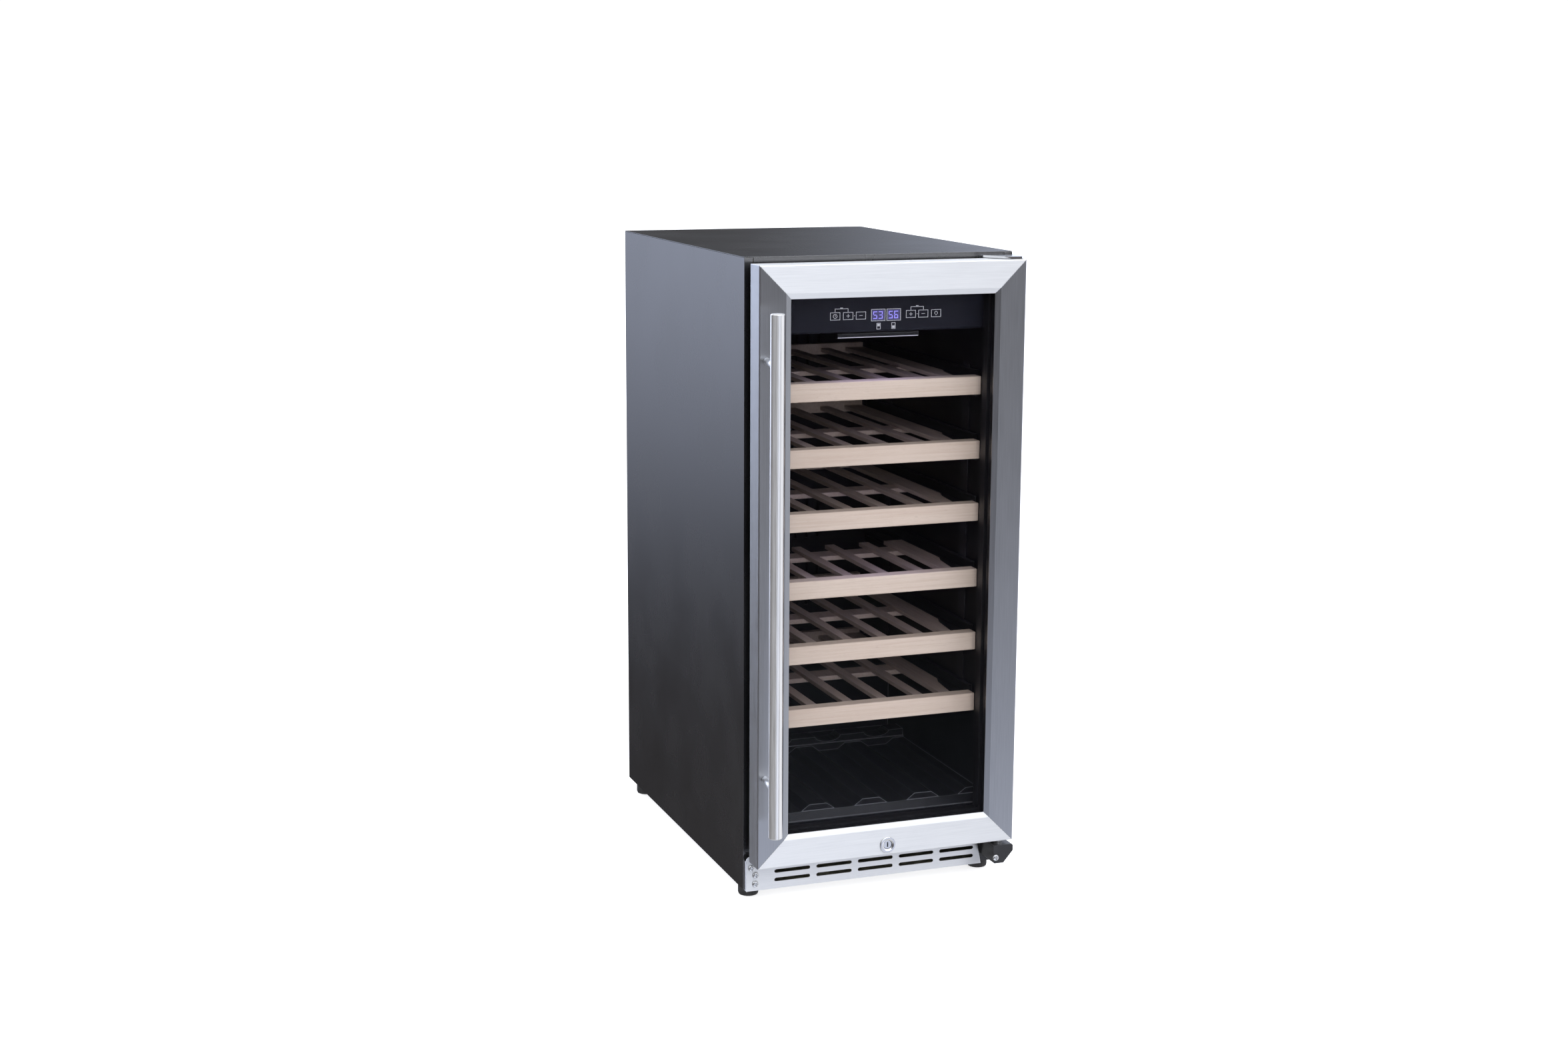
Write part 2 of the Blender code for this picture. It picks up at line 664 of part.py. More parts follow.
def fan_rotor(name, y_low, depth, centre_x, centre_z, hub, reach, blades, surface):
    """Axial fan wheel about Y: a hub with flat, pitched blades that widen outwards."""
    maker = bmesh.new()
    add_turned(maker, [(0, 0), (hub * 0.85, 0), (hub, depth * 0.2), (hub, depth), (0, depth)], "Y",
               (centre_x, y_low, centre_z), 20)
    rotor = add_object(name, maker, surface, smooth=True)
    maker = bmesh.new()
    middle = Vector((centre_x, y_low + depth / 2, centre_z))
    pitch = asin(depth * BLADE_LIFT / (hub * BLADE_TIP))
    thick = Vector((0, BLADE_SHEET / 2, 0))
    for index in range(blades):
        angle = 2 * pi * index / blades
        outwards = Vector((cos(angle), 0, sin(angle)))
        across = Vector((-sin(angle) * cos(pitch), sin(pitch), cos(angle) * cos(pitch)))
        rings = []
        for radius, half_chord in ((hub * 0.6, hub * BLADE_ROOT), (reach, hub * BLADE_TIP)):
            base = middle + outwards * radius
            span = across * half_chord
            corners = (base - span - thick, base + span - thick, base + span + thick, base - span + thick)
            rings.append([maker.verts.new(corner) for corner in corners])
        maker.faces.new(rings[0])
        maker.faces.new(rings[1][::-1])
        for side in range(4):
            after = (side + 1) % 4
            maker.faces.new((rings[0][side], rings[0][after], rings[1][after], rings[1][side]))
    weld(rotor, maker, name + "_blades")
    return rotor


def compressor(surface):
    """Hermetic compressor can on its foot plate."""
    radius = 0.060
    base = PAN_BOTTOM + PAN_SHEET + GAP
    profile = [(0, 0.002), (radius - 0.012, 0.002), (radius, 0.014), (radius, 0.062),
               (radius + 0.002, 0.066), (radius, 0.070), (radius - 0.004, 0.110), (radius - 0.020, 0.128),
               (radius - 0.040, 0.134), (0, 0.136)]
    maker = bmesh.new()
    add_turned(maker, profile, "Z", (COMPRESSOR_X, COMPRESSOR_Y, base), 28)
    can = add_object("compressor", maker, surface, smooth=True)
    maker = bmesh.new()
    across = (COMPRESSOR_X - 0.075, COMPRESSOR_X + 0.075)
    add_box(maker, across, (COMPRESSOR_Y - 0.050, COMPRESSOR_Y + 0.050), (base, base + 0.003))
    weld(can, maker, "compressor_foot_plate")
    return can


def condenser(surface):
    """Finned condenser block in front of its fan."""
    maker = bmesh.new()
    base = PAN_BOTTOM + PAN_SHEET + GAP
    add_box(maker, (-0.165, -0.025), (MACHINE_Y + 0.004, MACHINE_Y + 0.034), (base, base + 0.145))
    block = add_object("condenser", maker, surface)
    maker = bmesh.new()
    for index in range(15):
        left = -0.1615 + 0.009 * index
        add_box(maker, (left, left + 0.006), (MACHINE_Y, MACHINE_Y + 0.027), (base + 0.006, base + 0.139))
    cut(block, maker, "condenser_fin_gaps")
    return block


def condenser_fan_frame(surface):
    """Square fan frame with a round throat, four spokes and a motor hub."""
    x, y, z = CONDENSER_FAN
    half = 0.060
    base = PAN_BOTTOM + PAN_SHEET + GAP
    maker = bmesh.new()
    add_box(maker, (x - half, x + half), (y, y + 0.026), (z - half, z + half))
    frame = add_object("condenser_fan_frame", maker, surface)
    maker = bmesh.new()
    add_turned(maker, [(0, -0.01), (0.055, -0.01), (0.055, 0.04), (0, 0.04)], "Y", (x, y, z), 32)
    cut(frame, maker, "fan_frame_throat")
    maker = bmesh.new()
    add_turned(maker, [(0, 0), (0.019, 0), (0.019, 0.006), (0, 0.006)], "Y", (x, y + 0.020, z), 20)
    add_box(maker, (x - 0.057, x + 0.057), (y + 0.0215, y + 0.0245), (z - 0.003, z + 0.003))
    add_box(maker, (x - 0.003, x + 0.003), (y + 0.0222, y + 0.0238), (z - 0.057, z + 0.057))
    add_box(maker, (x - 0.050, x - 0.040), (y + 0.004, y + 0.022), (base, z - half + 0.001))
    add_box(maker, (x + 0.040, x + 0.050), (y + 0.004, y + 0.022), (base, z - half + 0.001))
    weld(frame, maker, "fan_frame_spokes")
    return frame


def power_inlet(surface):
    """Flush appliance inlet in the lower rear cover, with a socket recess and three blades."""
    maker = bmesh.new()
    outline = rounded_rectangle((0.1000, 0.0500), (0.1300, 0.0750), 0.0003, 1)
    add_prism(maker, outline, "Y", REAR - 0.020, REAR)
    inlet = add_object("power_inlet", maker, surface)
    maker = bmesh.new()
    outline = [(0.1025, 0.0530), (0.1275, 0.0530), (0.1275, 0.0680), (0.1235, 0.0720), (0.1065, 0.0720),
               (0.1025, 0.0680)]
    add_prism(maker, outline, "Y", REAR - 0.015, REAR + 0.01)
    cut(inlet, maker, "power_inlet_recess")
    maker = bmesh.new()
    for x, z in ((0.1080, 0.0600), (0.1150, 0.0650), (0.1220, 0.0600)):
        add_box(maker, (x - 0.001, x + 0.001), (REAR - 0.016, REAR - 0.0095), (z - 0.002, z + 0.002))
    weld(inlet, maker, "power_inlet_blades")
    return inlet


# Shelves
def shelf_rails(side, surface):
    """Six shelf channels on two upright straps, screwed to one wall of the liner."""
    wall = CAVITY_HALF - GAP
    strap = sorted((side * (wall - RAIL_STRAP), side * wall))
    height = (SHELF_TOPS[-1] - STRIP_HEIGHT - 0.010, SHELF_TOPS[0] + 0.010)
    first, second = RAIL_STRAP_YS
    maker = bmesh.new()
    add_box(maker, strap, (first, first + RAIL_STRAP_WIDTH), height)
    name = "left_shelf_rails" if side < 0 else "right_shelf_rails"
    rails = add_object(name, maker, surface)
    maker = bmesh.new()
    add_box(maker, strap, (second, second + RAIL_STRAP_WIDTH), height)
    web = CHANNEL_WEB - CHANNEL_SHEET
    for top in SHELF_TOPS:
        middle = top - STRIP_HEIGHT / 2
        upper = middle + CHANNEL_HEIGHT / 2
        lower = middle - CHANNEL_HEIGHT / 2
        outline = [(CHANNEL_WEB, lower), (CHANNEL_WEB, upper), (CHANNEL_LIP, upper),
                   (CHANNEL_LIP, upper - CHANNEL_SHEET), (web, upper - CHANNEL_SHEET),
                   (web, lower + CHANNEL_SHEET), (CHANNEL_LIP, lower + CHANNEL_SHEET), (CHANNEL_LIP, lower)]
        add_prism(maker, [(side * x, z) for x, z in outline], "Y", FRONT + 0.030, FRONT + 0.408)
    weld(rails, maker, name + "_channels")
    return rails


def shelf_front(number, top, surface):
    maker = bmesh.new()
    add_box(maker, (-STRIP_HALF, STRIP_HALF), (STRIP_FRONT, STRIP_REAR), (top - STRIP_HEIGHT, top))
    strip = add_object(f"shelf_{number}_front", maker, surface)
    soften(strip, 0.0012, 2)
    return strip


def shelf_rack(number, top, surface):
    """Slats on a crossbar with a runner along each side; all but the short one end in a rear board."""
    short = number == SHORT_SHELF
    slat_top = top - SLAT_DROP
    slat_bottom = slat_top - SLAT_THICK
    start = STRIP_REAR + GAP
    slat_end = SHORT_RACK_REAR if short else RACK_REAR
    reach = RUNNER_INNER + 0.002
    maker = bmesh.new()
    add_box(maker, (-reach, reach), (CROSSBAR_Y, CROSSBAR_Y + CROSSBAR_DEPTH),
            (slat_bottom - CROSSBAR_HEIGHT, slat_bottom + CROSSBAR_OVERLAP))
    rack = add_object(f"shelf_{number}_rack", maker, surface)
    maker = bmesh.new()
    for middle in SLAT_CENTRES:
        across = (middle - SLAT_WIDTH / 2, middle + SLAT_WIDTH / 2)
        add_box(maker, across, (start, slat_end), (slat_bottom, slat_top))
    runner_middle = top - STRIP_HEIGHT / 2
    runner_height = (runner_middle - RUNNER_HEIGHT / 2, runner_middle + RUNNER_HEIGHT / 2)
    for side in (-1, 1):
        outline = [(side * OUTER_SLAT_INNER, start)]
        outline += [(side * across, depth) for across, depth in OUTER_SLAT_EDGE]
        outline += [(side * OUTER_SLAT_EDGE[-1][0], slat_end), (side * OUTER_SLAT_INNER, slat_end)]
        add_prism(maker, outline, "Z", slat_bottom, slat_top)
        across = sorted((side * RUNNER_INNER, side * RUNNER_OUTER))
        add_box(maker, across, (start, RACK_REAR + 0.006), runner_height)
    if not short:
        add_box(maker, (-reach, reach), (RACK_REAR - 0.001, RACK_REAR - 0.001 + REAR_BOARD_DEPTH),
                (slat_bottom - 0.004, top + REAR_BOARD_RISE))
    weld(rack, maker, f"shelf_{number}_slats")
    return rack


# Door
def door_rail_section():
    """Section of a stainless rail: (distance inwards from the door's edge, y)."""
    radius = 0.0015
    section = [(0.0, DOOR_FRONT + DOOR_WRAP)]
    for step in range(4):
        angle = pi / 2 * step / 3
        section.append((radius - radius * cos(angle), DOOR_FRONT + radius - radius * sin(angle)))
    section += [(LIP_START, DOOR_FRONT), (RAIL_WIDTH, DOOR_FRONT + LIP_DROP),
                (RAIL_WIDTH, DOOR_FRONT + LIP_DROP + DOOR_SHEET), (LIP_START, DOOR_FRONT + DOOR_SHEET),
                (DOOR_SHEET, DOOR_FRONT + DOOR_SHEET), (DOOR_SHEET, DOOR_FRONT + DOOR_WRAP)]
    return section


def door_rail(name, where, surface):
    """One stainless rail, mitred at both ends with a hairline between neighbours."""
    section = door_rail_section()
    hairline = GAP / 2
    middle_z = (DOOR_BOTTOM + DOOR_TOP) / 2
    half_z = (DOOR_TOP - DOOR_BOTTOM) / 2
    maker = bmesh.new()
    ends = []
    for end in (-1, 1):
        ring = []
        for inwards, depth in section:
            if where in ("top", "bottom"):
                side = 1 if where == "top" else -1
                across = end * (DOOR_HALF - inwards - hairline)
                ring.append(maker.verts.new((across, depth, middle_z + side * (half_z - inwards))))
            else:
                side = 1 if where == "right" else -1
                height = middle_z + end * (half_z - inwards - hairline)
                ring.append(maker.verts.new((side * (DOOR_HALF - inwards), depth, height)))
        ends.append(ring)
    maker.faces.new(ends[0])
    maker.faces.new(ends[1][::-1])
    for index in range(len(section)):
        after = (index + 1) % len(section)
        maker.faces.new((ends[0][index], ends[0][after], ends[1][after], ends[1][index]))
    return add_object(name, maker, surface, smooth=True)


def hinge_hole(rail, name, low, high):
    maker = bmesh.new()
    bore = [(0, low), (PIN_HOLE, low), (PIN_HOLE, high), (0, high)]
    add_turned(maker, bore, "Z", (HINGE_X, HINGE_Y, 0), 20)
    cut(rail, maker, name)


def lock_hole(target, name):
    maker = bmesh.new()
    radius = BARREL_RADIUS + GAP
    add_turned(maker, [(0, -0.06), (radius, -0.06), (radius, 0.0), (0, 0.0)], "Y", (0, FRONT, LOCK_Z), 32)
    cut(target, maker, name)


def door_inner_frame(surface):
    """Black plastic frame: fills the stainless rails and holds the glass unit from behind."""
    front = DOOR_FRONT + DOOR_SHEET + 0.0004
    shoulder = DOOR_FRONT + DOOR_WRAP - 0.0003
    back = FRONT - 0.0125
    pocket = GLASS_FRONT + GLASS_UNIT + GAP
    edge = DOOR_SHEET + 0.0004
    ledge = GLASS_EDGE - GAP
    inset = 0.008
    section = [(edge, front), (ledge, front), (ledge, pocket), (RAIL_WIDTH, pocket),
               (RAIL_WIDTH, back), (inset, back), (inset, shoulder), (edge, shoulder)]
    maker = bmesh.new()
    add_frame_ring(maker, DOOR_HALF, DOOR_BOTTOM, DOOR_TOP, section)
    frame = add_object("door_inner_frame", maker, surface)
    lock_hole(frame, "inner_frame_lock_hole")
    hinge_hole(frame, "inner_frame_top_pin_hole", DOOR_TOP - 0.016, DOOR_TOP + 0.01)
    hinge_hole(frame, "inner_frame_bottom_pin_hole", DOOR_BOTTOM - 0.01, DOOR_BOTTOM + 0.016)
    return frame


def glass_pane(name, y_low, surface):
    half = DOOR_HALF - GLASS_EDGE
    maker = bmesh.new()
    add_box(maker, (-half, half), (y_low, y_low + GLASS), (DOOR_BOTTOM + GLASS_EDGE, DOOR_TOP - GLASS_EDGE))
    return add_object(name, maker, surface)


def glass_spacer(surface):
    y_low = GLASS_FRONT + GLASS + GAP / 2
    y_high = GLASS_FRONT + GLASS_UNIT - GLASS - GAP / 2
    section = [(GLASS_EDGE + 0.001, y_low), (GLASS_EDGE + 0.009, y_low), (GLASS_EDGE + 0.009, y_high),
               (GLASS_EDGE + 0.001, y_high)]
    maker = bmesh.new()
    add_frame_ring(maker, DOOR_HALF, DOOR_BOTTOM, DOOR_TOP, section)
    return add_object("glass_spacer", maker, surface)


def door_gasket(surface):
    """Magnetic seal between the door and the liner's flange; it stays inboard of the hinge axis."""
    y_low = FRONT - 0.0122
    y_high = FRONT - GAP
    fold = 0.002
    section = [(0.0, y_low), (0.0113, y_low), (0.0113, y_high - fold), (0.0113 - fold, y_high),
               (fold, y_high), (0.0, y_high - fold)]
    maker = bmesh.new()
    add_frame_ring(maker, HINGE_X - 0.0005, 0.0890, 0.8480, section)
    return add_object("door_gasket", maker, surface)


def handle_bar(surface):
    chamfer = 0.001
    profile = [(0, HANDLE_BOTTOM), (HANDLE_RADIUS - chamfer, HANDLE_BOTTOM),
               (HANDLE_RADIUS, HANDLE_BOTTOM + chamfer), (HANDLE_RADIUS, HANDLE_TOP - chamfer),
               (HANDLE_RADIUS - chamfer, HANDLE_TOP), (0, HANDLE_TOP)]
    maker = bmesh.new()
    add_turned(maker, profile, "Z", (HANDLE_X, HANDLE_Y, 0), 32)
    return add_object("handle_bar", maker, surface, smooth=True)


def handle_post(name, height, surface):
    """Turned post between the door and the bar, hollowed at its end to seat the round bar."""
    length = DOOR_FRONT - GAP - HANDLE_Y
    profile = [(0, 0), (0.0070, 0), (0.0068, length * 0.35), (0.0055, length * 0.62),
               (0.0046, length * 0.85), (0.0050, length), (0, length)]
    maker = bmesh.new()
    add_turned(maker, profile, "Y", (HANDLE_X, HANDLE_Y, height), 20)
    post = add_object(name, maker, surface, smooth=True)
    maker = bmesh.new()
    radius = HANDLE_RADIUS + GAP
    add_turned(maker, [(0, -0.02), (radius, -0.02), (radius, 0.02), (0, 0.02)], "Z",
               (HANDLE_X, HANDLE_Y, height), 32)
    cut(post, maker, name + "_seat")
    return post


def lock_barrel(surface):
    """Chrome ring and barrel with a bore for the key plug."""
    bore = PLUG_RADIUS + GAP
    profile = [(bore, -0.0508), (0.0085, -0.0520), (0.0105, -0.0520), (0.0110, -0.0515), (0.0110, -0.0503),
               (BARREL_RADIUS, -0.0503), (BARREL_RADIUS, -0.0100), (bore, -0.0100)]
    maker = bmesh.new()
    add_turned(maker, profile, "Y", (0, FRONT, LOCK_Z), 28, closed=True)
    return add_object("lock_barrel", maker, surface, smooth=True)


def lock_plug(surface):
    profile = [(0, -0.0500), (PLUG_RADIUS - 0.0005, -0.0500), (PLUG_RADIUS, -0.0495),
               (PLUG_RADIUS, -0.0070), (0.0032, -0.0070), (0.0032, -0.0042), (0, -0.0042)]
    maker = bmesh.new()
    add_turned(maker, profile, "Y", (0, FRONT, LOCK_Z), 24)
    plug = add_object("lock_plug", maker, surface, smooth=True)
    maker = bmesh.new()
    add_box(maker, (-0.0009, 0.0009), (FRONT - 0.055, FRONT - 0.040), (LOCK_Z - 0.0035, LOCK_Z + 0.0035))
    cut(plug, maker, "lock_keyway")
    return plug


def lock_cam(surface):
    """Flat cam on the plug's tail; sideways when unlocked, behind the kick plate when locked."""
    width = 0.005
    reach = 0.018
    outline = [(reach, LOCK_Z - 0.004), (reach, LOCK_Z + 0.004)]
    for step in range(9):
        angle = pi / 2 + pi * step / 8
        outline.append((width * cos(angle), LOCK_Z + width * sin(angle)))
    maker = bmesh.new()
    add_prism(maker, outline, "Y", FRONT - 0.0064, FRONT - 0.0044)
    cam = add_object("lock_cam", maker, surface)
    maker = bmesh.new()
    add_turned(maker, [(0, -0.02), (0.0035, -0.02), (0.0035, 0.02), (0, 0.02)], "Y", (0, FRONT, LOCK_Z), 20)
    cut(cam, maker, "lock_cam_hole")
    return cam


# Feet
def foot(name, x, y, surface):
    """Adjustable foot: a disc with a rounded lower edge on a threaded stud."""
    profile = [(0, 0), (FOOT_RADIUS - 0.003, 0), (FOOT_RADIUS - 0.0009, 0.0009), (FOOT_RADIUS, 0.003),
               (FOOT_RADIUS, 0.012), (FOOT_RADIUS - 0.002, 0.014), (FOOT_RADIUS - 0.002, FOOT_TOP),
               (FOOT_STUD, FOOT_TOP), (FOOT_STUD, 0.044), (0, 0.044)]
    maker = bmesh.new()
    add_turned(maker, profile, "Z", (x, y, 0), 18)
    return add_object(name, maker, surface, smooth=True)


# Assembly
def build_cabinet(kit):
    for side in (-1, 1):
        side_panel(side, kit["painted"])
        shelf_rails(side, kit["zinc"])
    top_panel(kit["painted"])
    rear_panel(kit["zinc"])
    machine_cover(kit["zinc"])
    base_pan(kit["zinc"])
    inner_liner(kit["black"])
    foam_insulation(kit["foam"])
    kick_plate(kit["steel"])
    for number, (x, z) in enumerate(KICK_SCREWS, 1):
        pan_head_screw(f"kick_plate_screw_{number}", x, KICK_FRONT, z, 0.0070, kit["zinc"])
    top_hinge_plate(kit["chrome"])
    flange_face = FRONT - GAP - HINGE_SHEET
    pan_head_screw("top_hinge_screw", HINGE_SCREW_X, flange_face, HINGE_SCREW_Z, 0.0018, kit["chrome"],
                   0.003)
    bottom_hinge_bracket(kit["enamel"])
    bottom_hinge_pin(kit["chrome"])
    pan_head_screw("bottom_hinge_screw", BRACKET_SCREW[0], DOOR_FRONT, BRACKET_SCREW[1], 0.009, kit["zinc"])
    control_panel(kit["panel"])
    light_strip(kit["light"])
    evaporator_cover(kit["black"])
    evaporator_coil(kit["zinc"])
    compressor(kit["enamel"])
    condenser(kit["zinc"])
    condenser_fan_frame(kit["black"])
    power_inlet(kit["black"])


def build_fans(kit):
    x, y, z = CONDENSER_FAN
    pivot = add_pivot("condenser_fan_axis", (x, y, z))
    rotor = fan_rotor("condenser_fan", y + 0.003, 0.016, x, z, 0.019, 0.050, 5, kit["black"])
    hang_on(pivot, [rotor])
    pivot = add_pivot("circulation_fan_axis", (0, CIRCULATION_FAN_Y, FAN_Z))
    depth = 0.014
    front = CIRCULATION_FAN_Y - 0.006
    rotor = fan_rotor("circulation_fan", front, depth, 0, FAN_Z, 0.014, 0.040, 5, kit["black"])
    hang_on(pivot, [rotor])


def build_shelves(kit):
    for number, top in enumerate(SHELF_TOPS, 1):
        pivot = add_pivot(f"shelf_{number}_slide", (0, STRIP_FRONT, top))
        hang_on(pivot, [shelf_front(number, top, kit["beech"]), shelf_rack(number, top, kit["beech"])])


def build_door(kit):
    pivot = add_pivot("door_hinge_axis", (HINGE_X, HINGE_Y, DOOR_BOTTOM))
    members = []
    for where in ("top", "bottom", "left", "right"):
        members.append(door_rail(f"door_frame_{where}", where, kit["steel"]))
    hinge_hole(members[0], "frame_top_pin_hole", DOOR_TOP - 0.01, DOOR_TOP + 0.01)
    hinge_hole(members[1], "frame_bottom_pin_hole", DOOR_BOTTOM - 0.01, DOOR_BOTTOM + 0.01)
    lock_hole(members[1], "frame_lock_hole")
    members.append(door_inner_frame(kit["black"]))
    members.append(glass_pane("door_glass_outer", GLASS_FRONT, kit["glass"]))
    members.append(glass_pane("door_glass_inner", GLASS_FRONT + GLASS_UNIT - GLASS, kit["glass"]))
    members.append(glass_spacer(kit["black"]))
    members.append(door_gasket(kit["rubber"]))
    members.append(handle_bar(kit["steel"]))
    for name, height in POST_HEIGHTS.items():
        members.append(handle_post(name, height, kit["steel"]))
    members.append(lock_barrel(kit["chrome"]))
    hang_on(pivot, members)
    lock_pivot = add_pivot("lock_axis", (0, FRONT - 0.050, LOCK_Z))
    hang_on(lock_pivot, [lock_plug(kit["chrome"]), lock_cam(kit["zinc"])])


def build_feet(kit):
    places = {"foot_front_left": (-FOOT_X, FOOT_FRONT_Y), "foot_front_right": (FOOT_X, FOOT_FRONT_Y),
              "foot_rear_left": (-FOOT_X, FOOT_REAR_Y), "foot_rear_right": (FOOT_X, FOOT_REAR_Y)}
    for name, (x, y) in places.items():
        pivot = add_pivot(name + "_axis", (x, y, 0))
        hang_on(pivot, [foot(name, x, y, kit["rubber"])])


def build():
    for old in list(bpy.data.objects):
        bpy.data.objects.remove(old, do_unlink=True)
    kit = make_materials()
    build_cabinet(kit)
    build_fans(kit)
    build_shelves(kit)
    build_door(kit)
    build_feet(kit)


build()
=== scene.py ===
"""Wine cooler: camera, studio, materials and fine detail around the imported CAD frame.

Metres, +Z up. The door faces -Y, its hinges are at +X and its handle at -X.
"""

from math import cos, pi, radians, sin

import bmesh
import bpy
from mathutils import Matrix, Vector


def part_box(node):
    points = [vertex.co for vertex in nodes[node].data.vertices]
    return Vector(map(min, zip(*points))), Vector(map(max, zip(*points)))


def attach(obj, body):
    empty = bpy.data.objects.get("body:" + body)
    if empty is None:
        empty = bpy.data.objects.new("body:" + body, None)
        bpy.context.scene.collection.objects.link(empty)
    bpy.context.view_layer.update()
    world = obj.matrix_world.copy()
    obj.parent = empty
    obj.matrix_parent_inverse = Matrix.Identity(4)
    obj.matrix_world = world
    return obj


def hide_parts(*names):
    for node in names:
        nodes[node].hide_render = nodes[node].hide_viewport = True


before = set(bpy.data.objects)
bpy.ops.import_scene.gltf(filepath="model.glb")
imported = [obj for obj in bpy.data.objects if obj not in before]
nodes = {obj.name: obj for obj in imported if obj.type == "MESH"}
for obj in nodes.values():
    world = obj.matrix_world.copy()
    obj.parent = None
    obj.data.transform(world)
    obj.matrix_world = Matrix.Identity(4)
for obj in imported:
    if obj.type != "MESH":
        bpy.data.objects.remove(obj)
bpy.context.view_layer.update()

# Camera: place in metres, angles in radians, lens and sensor in millimetres
CAMERA_PLACE = Vector((-1.1659, -2.98885, 1.0946))
CAMERA_YAW = 0.3567
CAMERA_PITCH = 0.192
CAMERA_ROLL = -0.0055
CAMERA_LENS = 52.43
SENSOR = 36.0

# Places taken from the frame
PANEL_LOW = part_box("control_panel")[0]
LIGHT_LOW, LIGHT_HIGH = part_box("light_strip")
REAR_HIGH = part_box("rear_panel")[1]
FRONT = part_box("top_panel")[0].y
SHELF_COUNT = 6

# Touch panel: print thickness and line width, keys by their left edges, displays by both edges
PANEL_FACE = PANEL_LOW.y - 0.00005
PRINT = 0.00025
LINE = 0.0006
KEY_LOW, KEY_HIGH = 0.7849, 0.7950
KEYS = ((-0.0708, "power"), (-0.0525, "plus"), (-0.0344, "minus"),
        (0.0370, "plus"), (0.0548, "minus"), (0.0734, "lamp"))
KEY_WIDTH = 0.0141
KEY_ARM = 0.0024
DISPLAYS = ((-0.0128, 0.0073), (0.0093, 0.0295))
DISPLAY_LOW, DISPLAY_HIGH = 0.7820, 0.7978
DISPLAY_LINE = 0.0007
WINDOW_INSET = 0.0012
SEGMENTS = {"5": "acdfg", "3": "abcdg", "6": "acdefg"}
DIGIT_LEFT = 0.0029
DIGIT_PITCH = 0.0078
DIGIT_RISE = 0.0030
DIGIT_WIDTH = 0.0056
DIGIT_HEIGHT = 0.0098
DIGIT_STROKE = 0.0011

# The cavity's mouth and the bead round it
MOUTH_HALF = 0.1603
MOUTH_LOW = 0.1052
MOUTH_HIGH = 0.8328
MOUTH_CORNER = 0.009
BEAD_RADIUS = 0.0011
BEAD_SETBACK = 0.0002
BEAD_SIDES = 8

# Fields pressed into the rear sheet, as lower and upper edges, and the screws in them
FIELD_HALF = 0.160
FIELDS = ((0.222, 0.412), (0.436, 0.626), (0.650, 0.840))
FIELD_DEPTH = 0.0008
FIELD_SLOPE = 0.003
TOLERANCE = 1e-6
SCREW_X = 0.146
SCREW_INSET = 0.012
SCREW_SIDES = 18

# Lights: powers in watts
FILL_POWER = 50
CABIN_POWER = 0.036
LOWER_ZONE_POWER = 0.026
LOWER_ZONE_Z = 0.498
WARM = (1.0, 0.97, 0.92)
CABIN_VIOLET = (0.55, 0.50, 1.0)
LOWER_VIOLET = (0.50, 0.42, 1.0)
FLOOR_GLOW = 0.70
SURROUND_STRENGTH = 1.05

SMOOTH_ANGLE = radians(35)


# Studio
def aim(thing, place, target):
    thing.location = place
    thing.rotation_euler = (Vector(target) - Vector(place)).to_track_quat("-Z", "Y").to_euler()


def add_camera():
    data = bpy.data.cameras.new("camera")
    data.lens = CAMERA_LENS
    data.sensor_width = SENSOR
    data.clip_end = 100.0
    camera = bpy.data.objects.new("camera", data)
    bpy.context.collection.objects.link(camera)
    forward = Vector((sin(CAMERA_YAW) * cos(CAMERA_PITCH), cos(CAMERA_YAW) * cos(CAMERA_PITCH),
                      -sin(CAMERA_PITCH)))
    level = Vector((cos(CAMERA_YAW), -sin(CAMERA_YAW), 0.0))
    down = forward.cross(level)
    right = level * cos(CAMERA_ROLL) + down * sin(CAMERA_ROLL)
    up = level * sin(CAMERA_ROLL) - down * cos(CAMERA_ROLL)
    turn = Matrix((right, up, -forward)).transposed()
    camera.matrix_world = Matrix.Translation(CAMERA_PLACE) @ turn.to_4x4()
    bpy.context.scene.camera = camera


def add_area_light(name, place, target, size, power, colour=(1.0, 1.0, 1.0)):
    data = bpy.data.lights.new(name, "AREA")
    data.shape = "RECTANGLE"
    data.size = size[0]
    data.size_y = size[1]
    data.energy = power
    data.color = colour
    light = bpy.data.objects.new(name, data)
    bpy.context.collection.objects.link(light)
    aim(light, place, target)
    light.visible_camera = False
    return light


def direction(azimuth, elevation):
    """Unit vector towards an azimuth, in degrees from +Y towards +X, and an elevation."""
    across = cos(radians(elevation))
    return (sin(radians(azimuth)) * across, cos(radians(azimuth)) * across, sin(radians(elevation)))


# Soft round patches of light in the studio: azimuth, elevation, inner and outer angle, strength, colour
COLD = (0.86, 0.95, 1.18)
NEUTRAL = (0.96, 0.98, 1.04)
STUDIO_PATCHES = (
    (-18, 15, 16, 30, 2.2, COLD),
    (52, 8, 22, 33, 1.35, COLD),
    (158, 45, 26, 41, 1.70, NEUTRAL),
    (170, -36, 14, 28, 0.95, COLD),
    (100, -6, 22, 50, 0.8, NEUTRAL),
    (-110, 45, 25, 45, 0.8, NEUTRAL),
)
# Sine of the elevation, and the studio's colour there away from the patches
STUDIO_RAMP = (
    (-1.0, (0.80, 0.80, 0.80)),
    (-0.50, (0.42, 0.42, 0.43)),
    (-0.32, (0.15, 0.138, 0.138)),
    (0.10, (0.10, 0.094, 0.096)),
    (0.45, (0.52, 0.54, 0.58)),
    (1.0, (0.95, 0.97, 1.0)),
)


def link(tree, value, socket):
    """Feeds a socket from another node's output, or sets it to a plain value."""
    if isinstance(value, bpy.types.NodeSocket):
        tree.links.new(value, socket)
    else:
        socket.default_value = value


def math_node(tree, operation, first, second=0.0):
    made = tree.nodes.new("ShaderNodeMath")
    made.operation = operation
    link(tree, first, made.inputs[0])
    link(tree, second, made.inputs[1])
    return made.outputs[0]


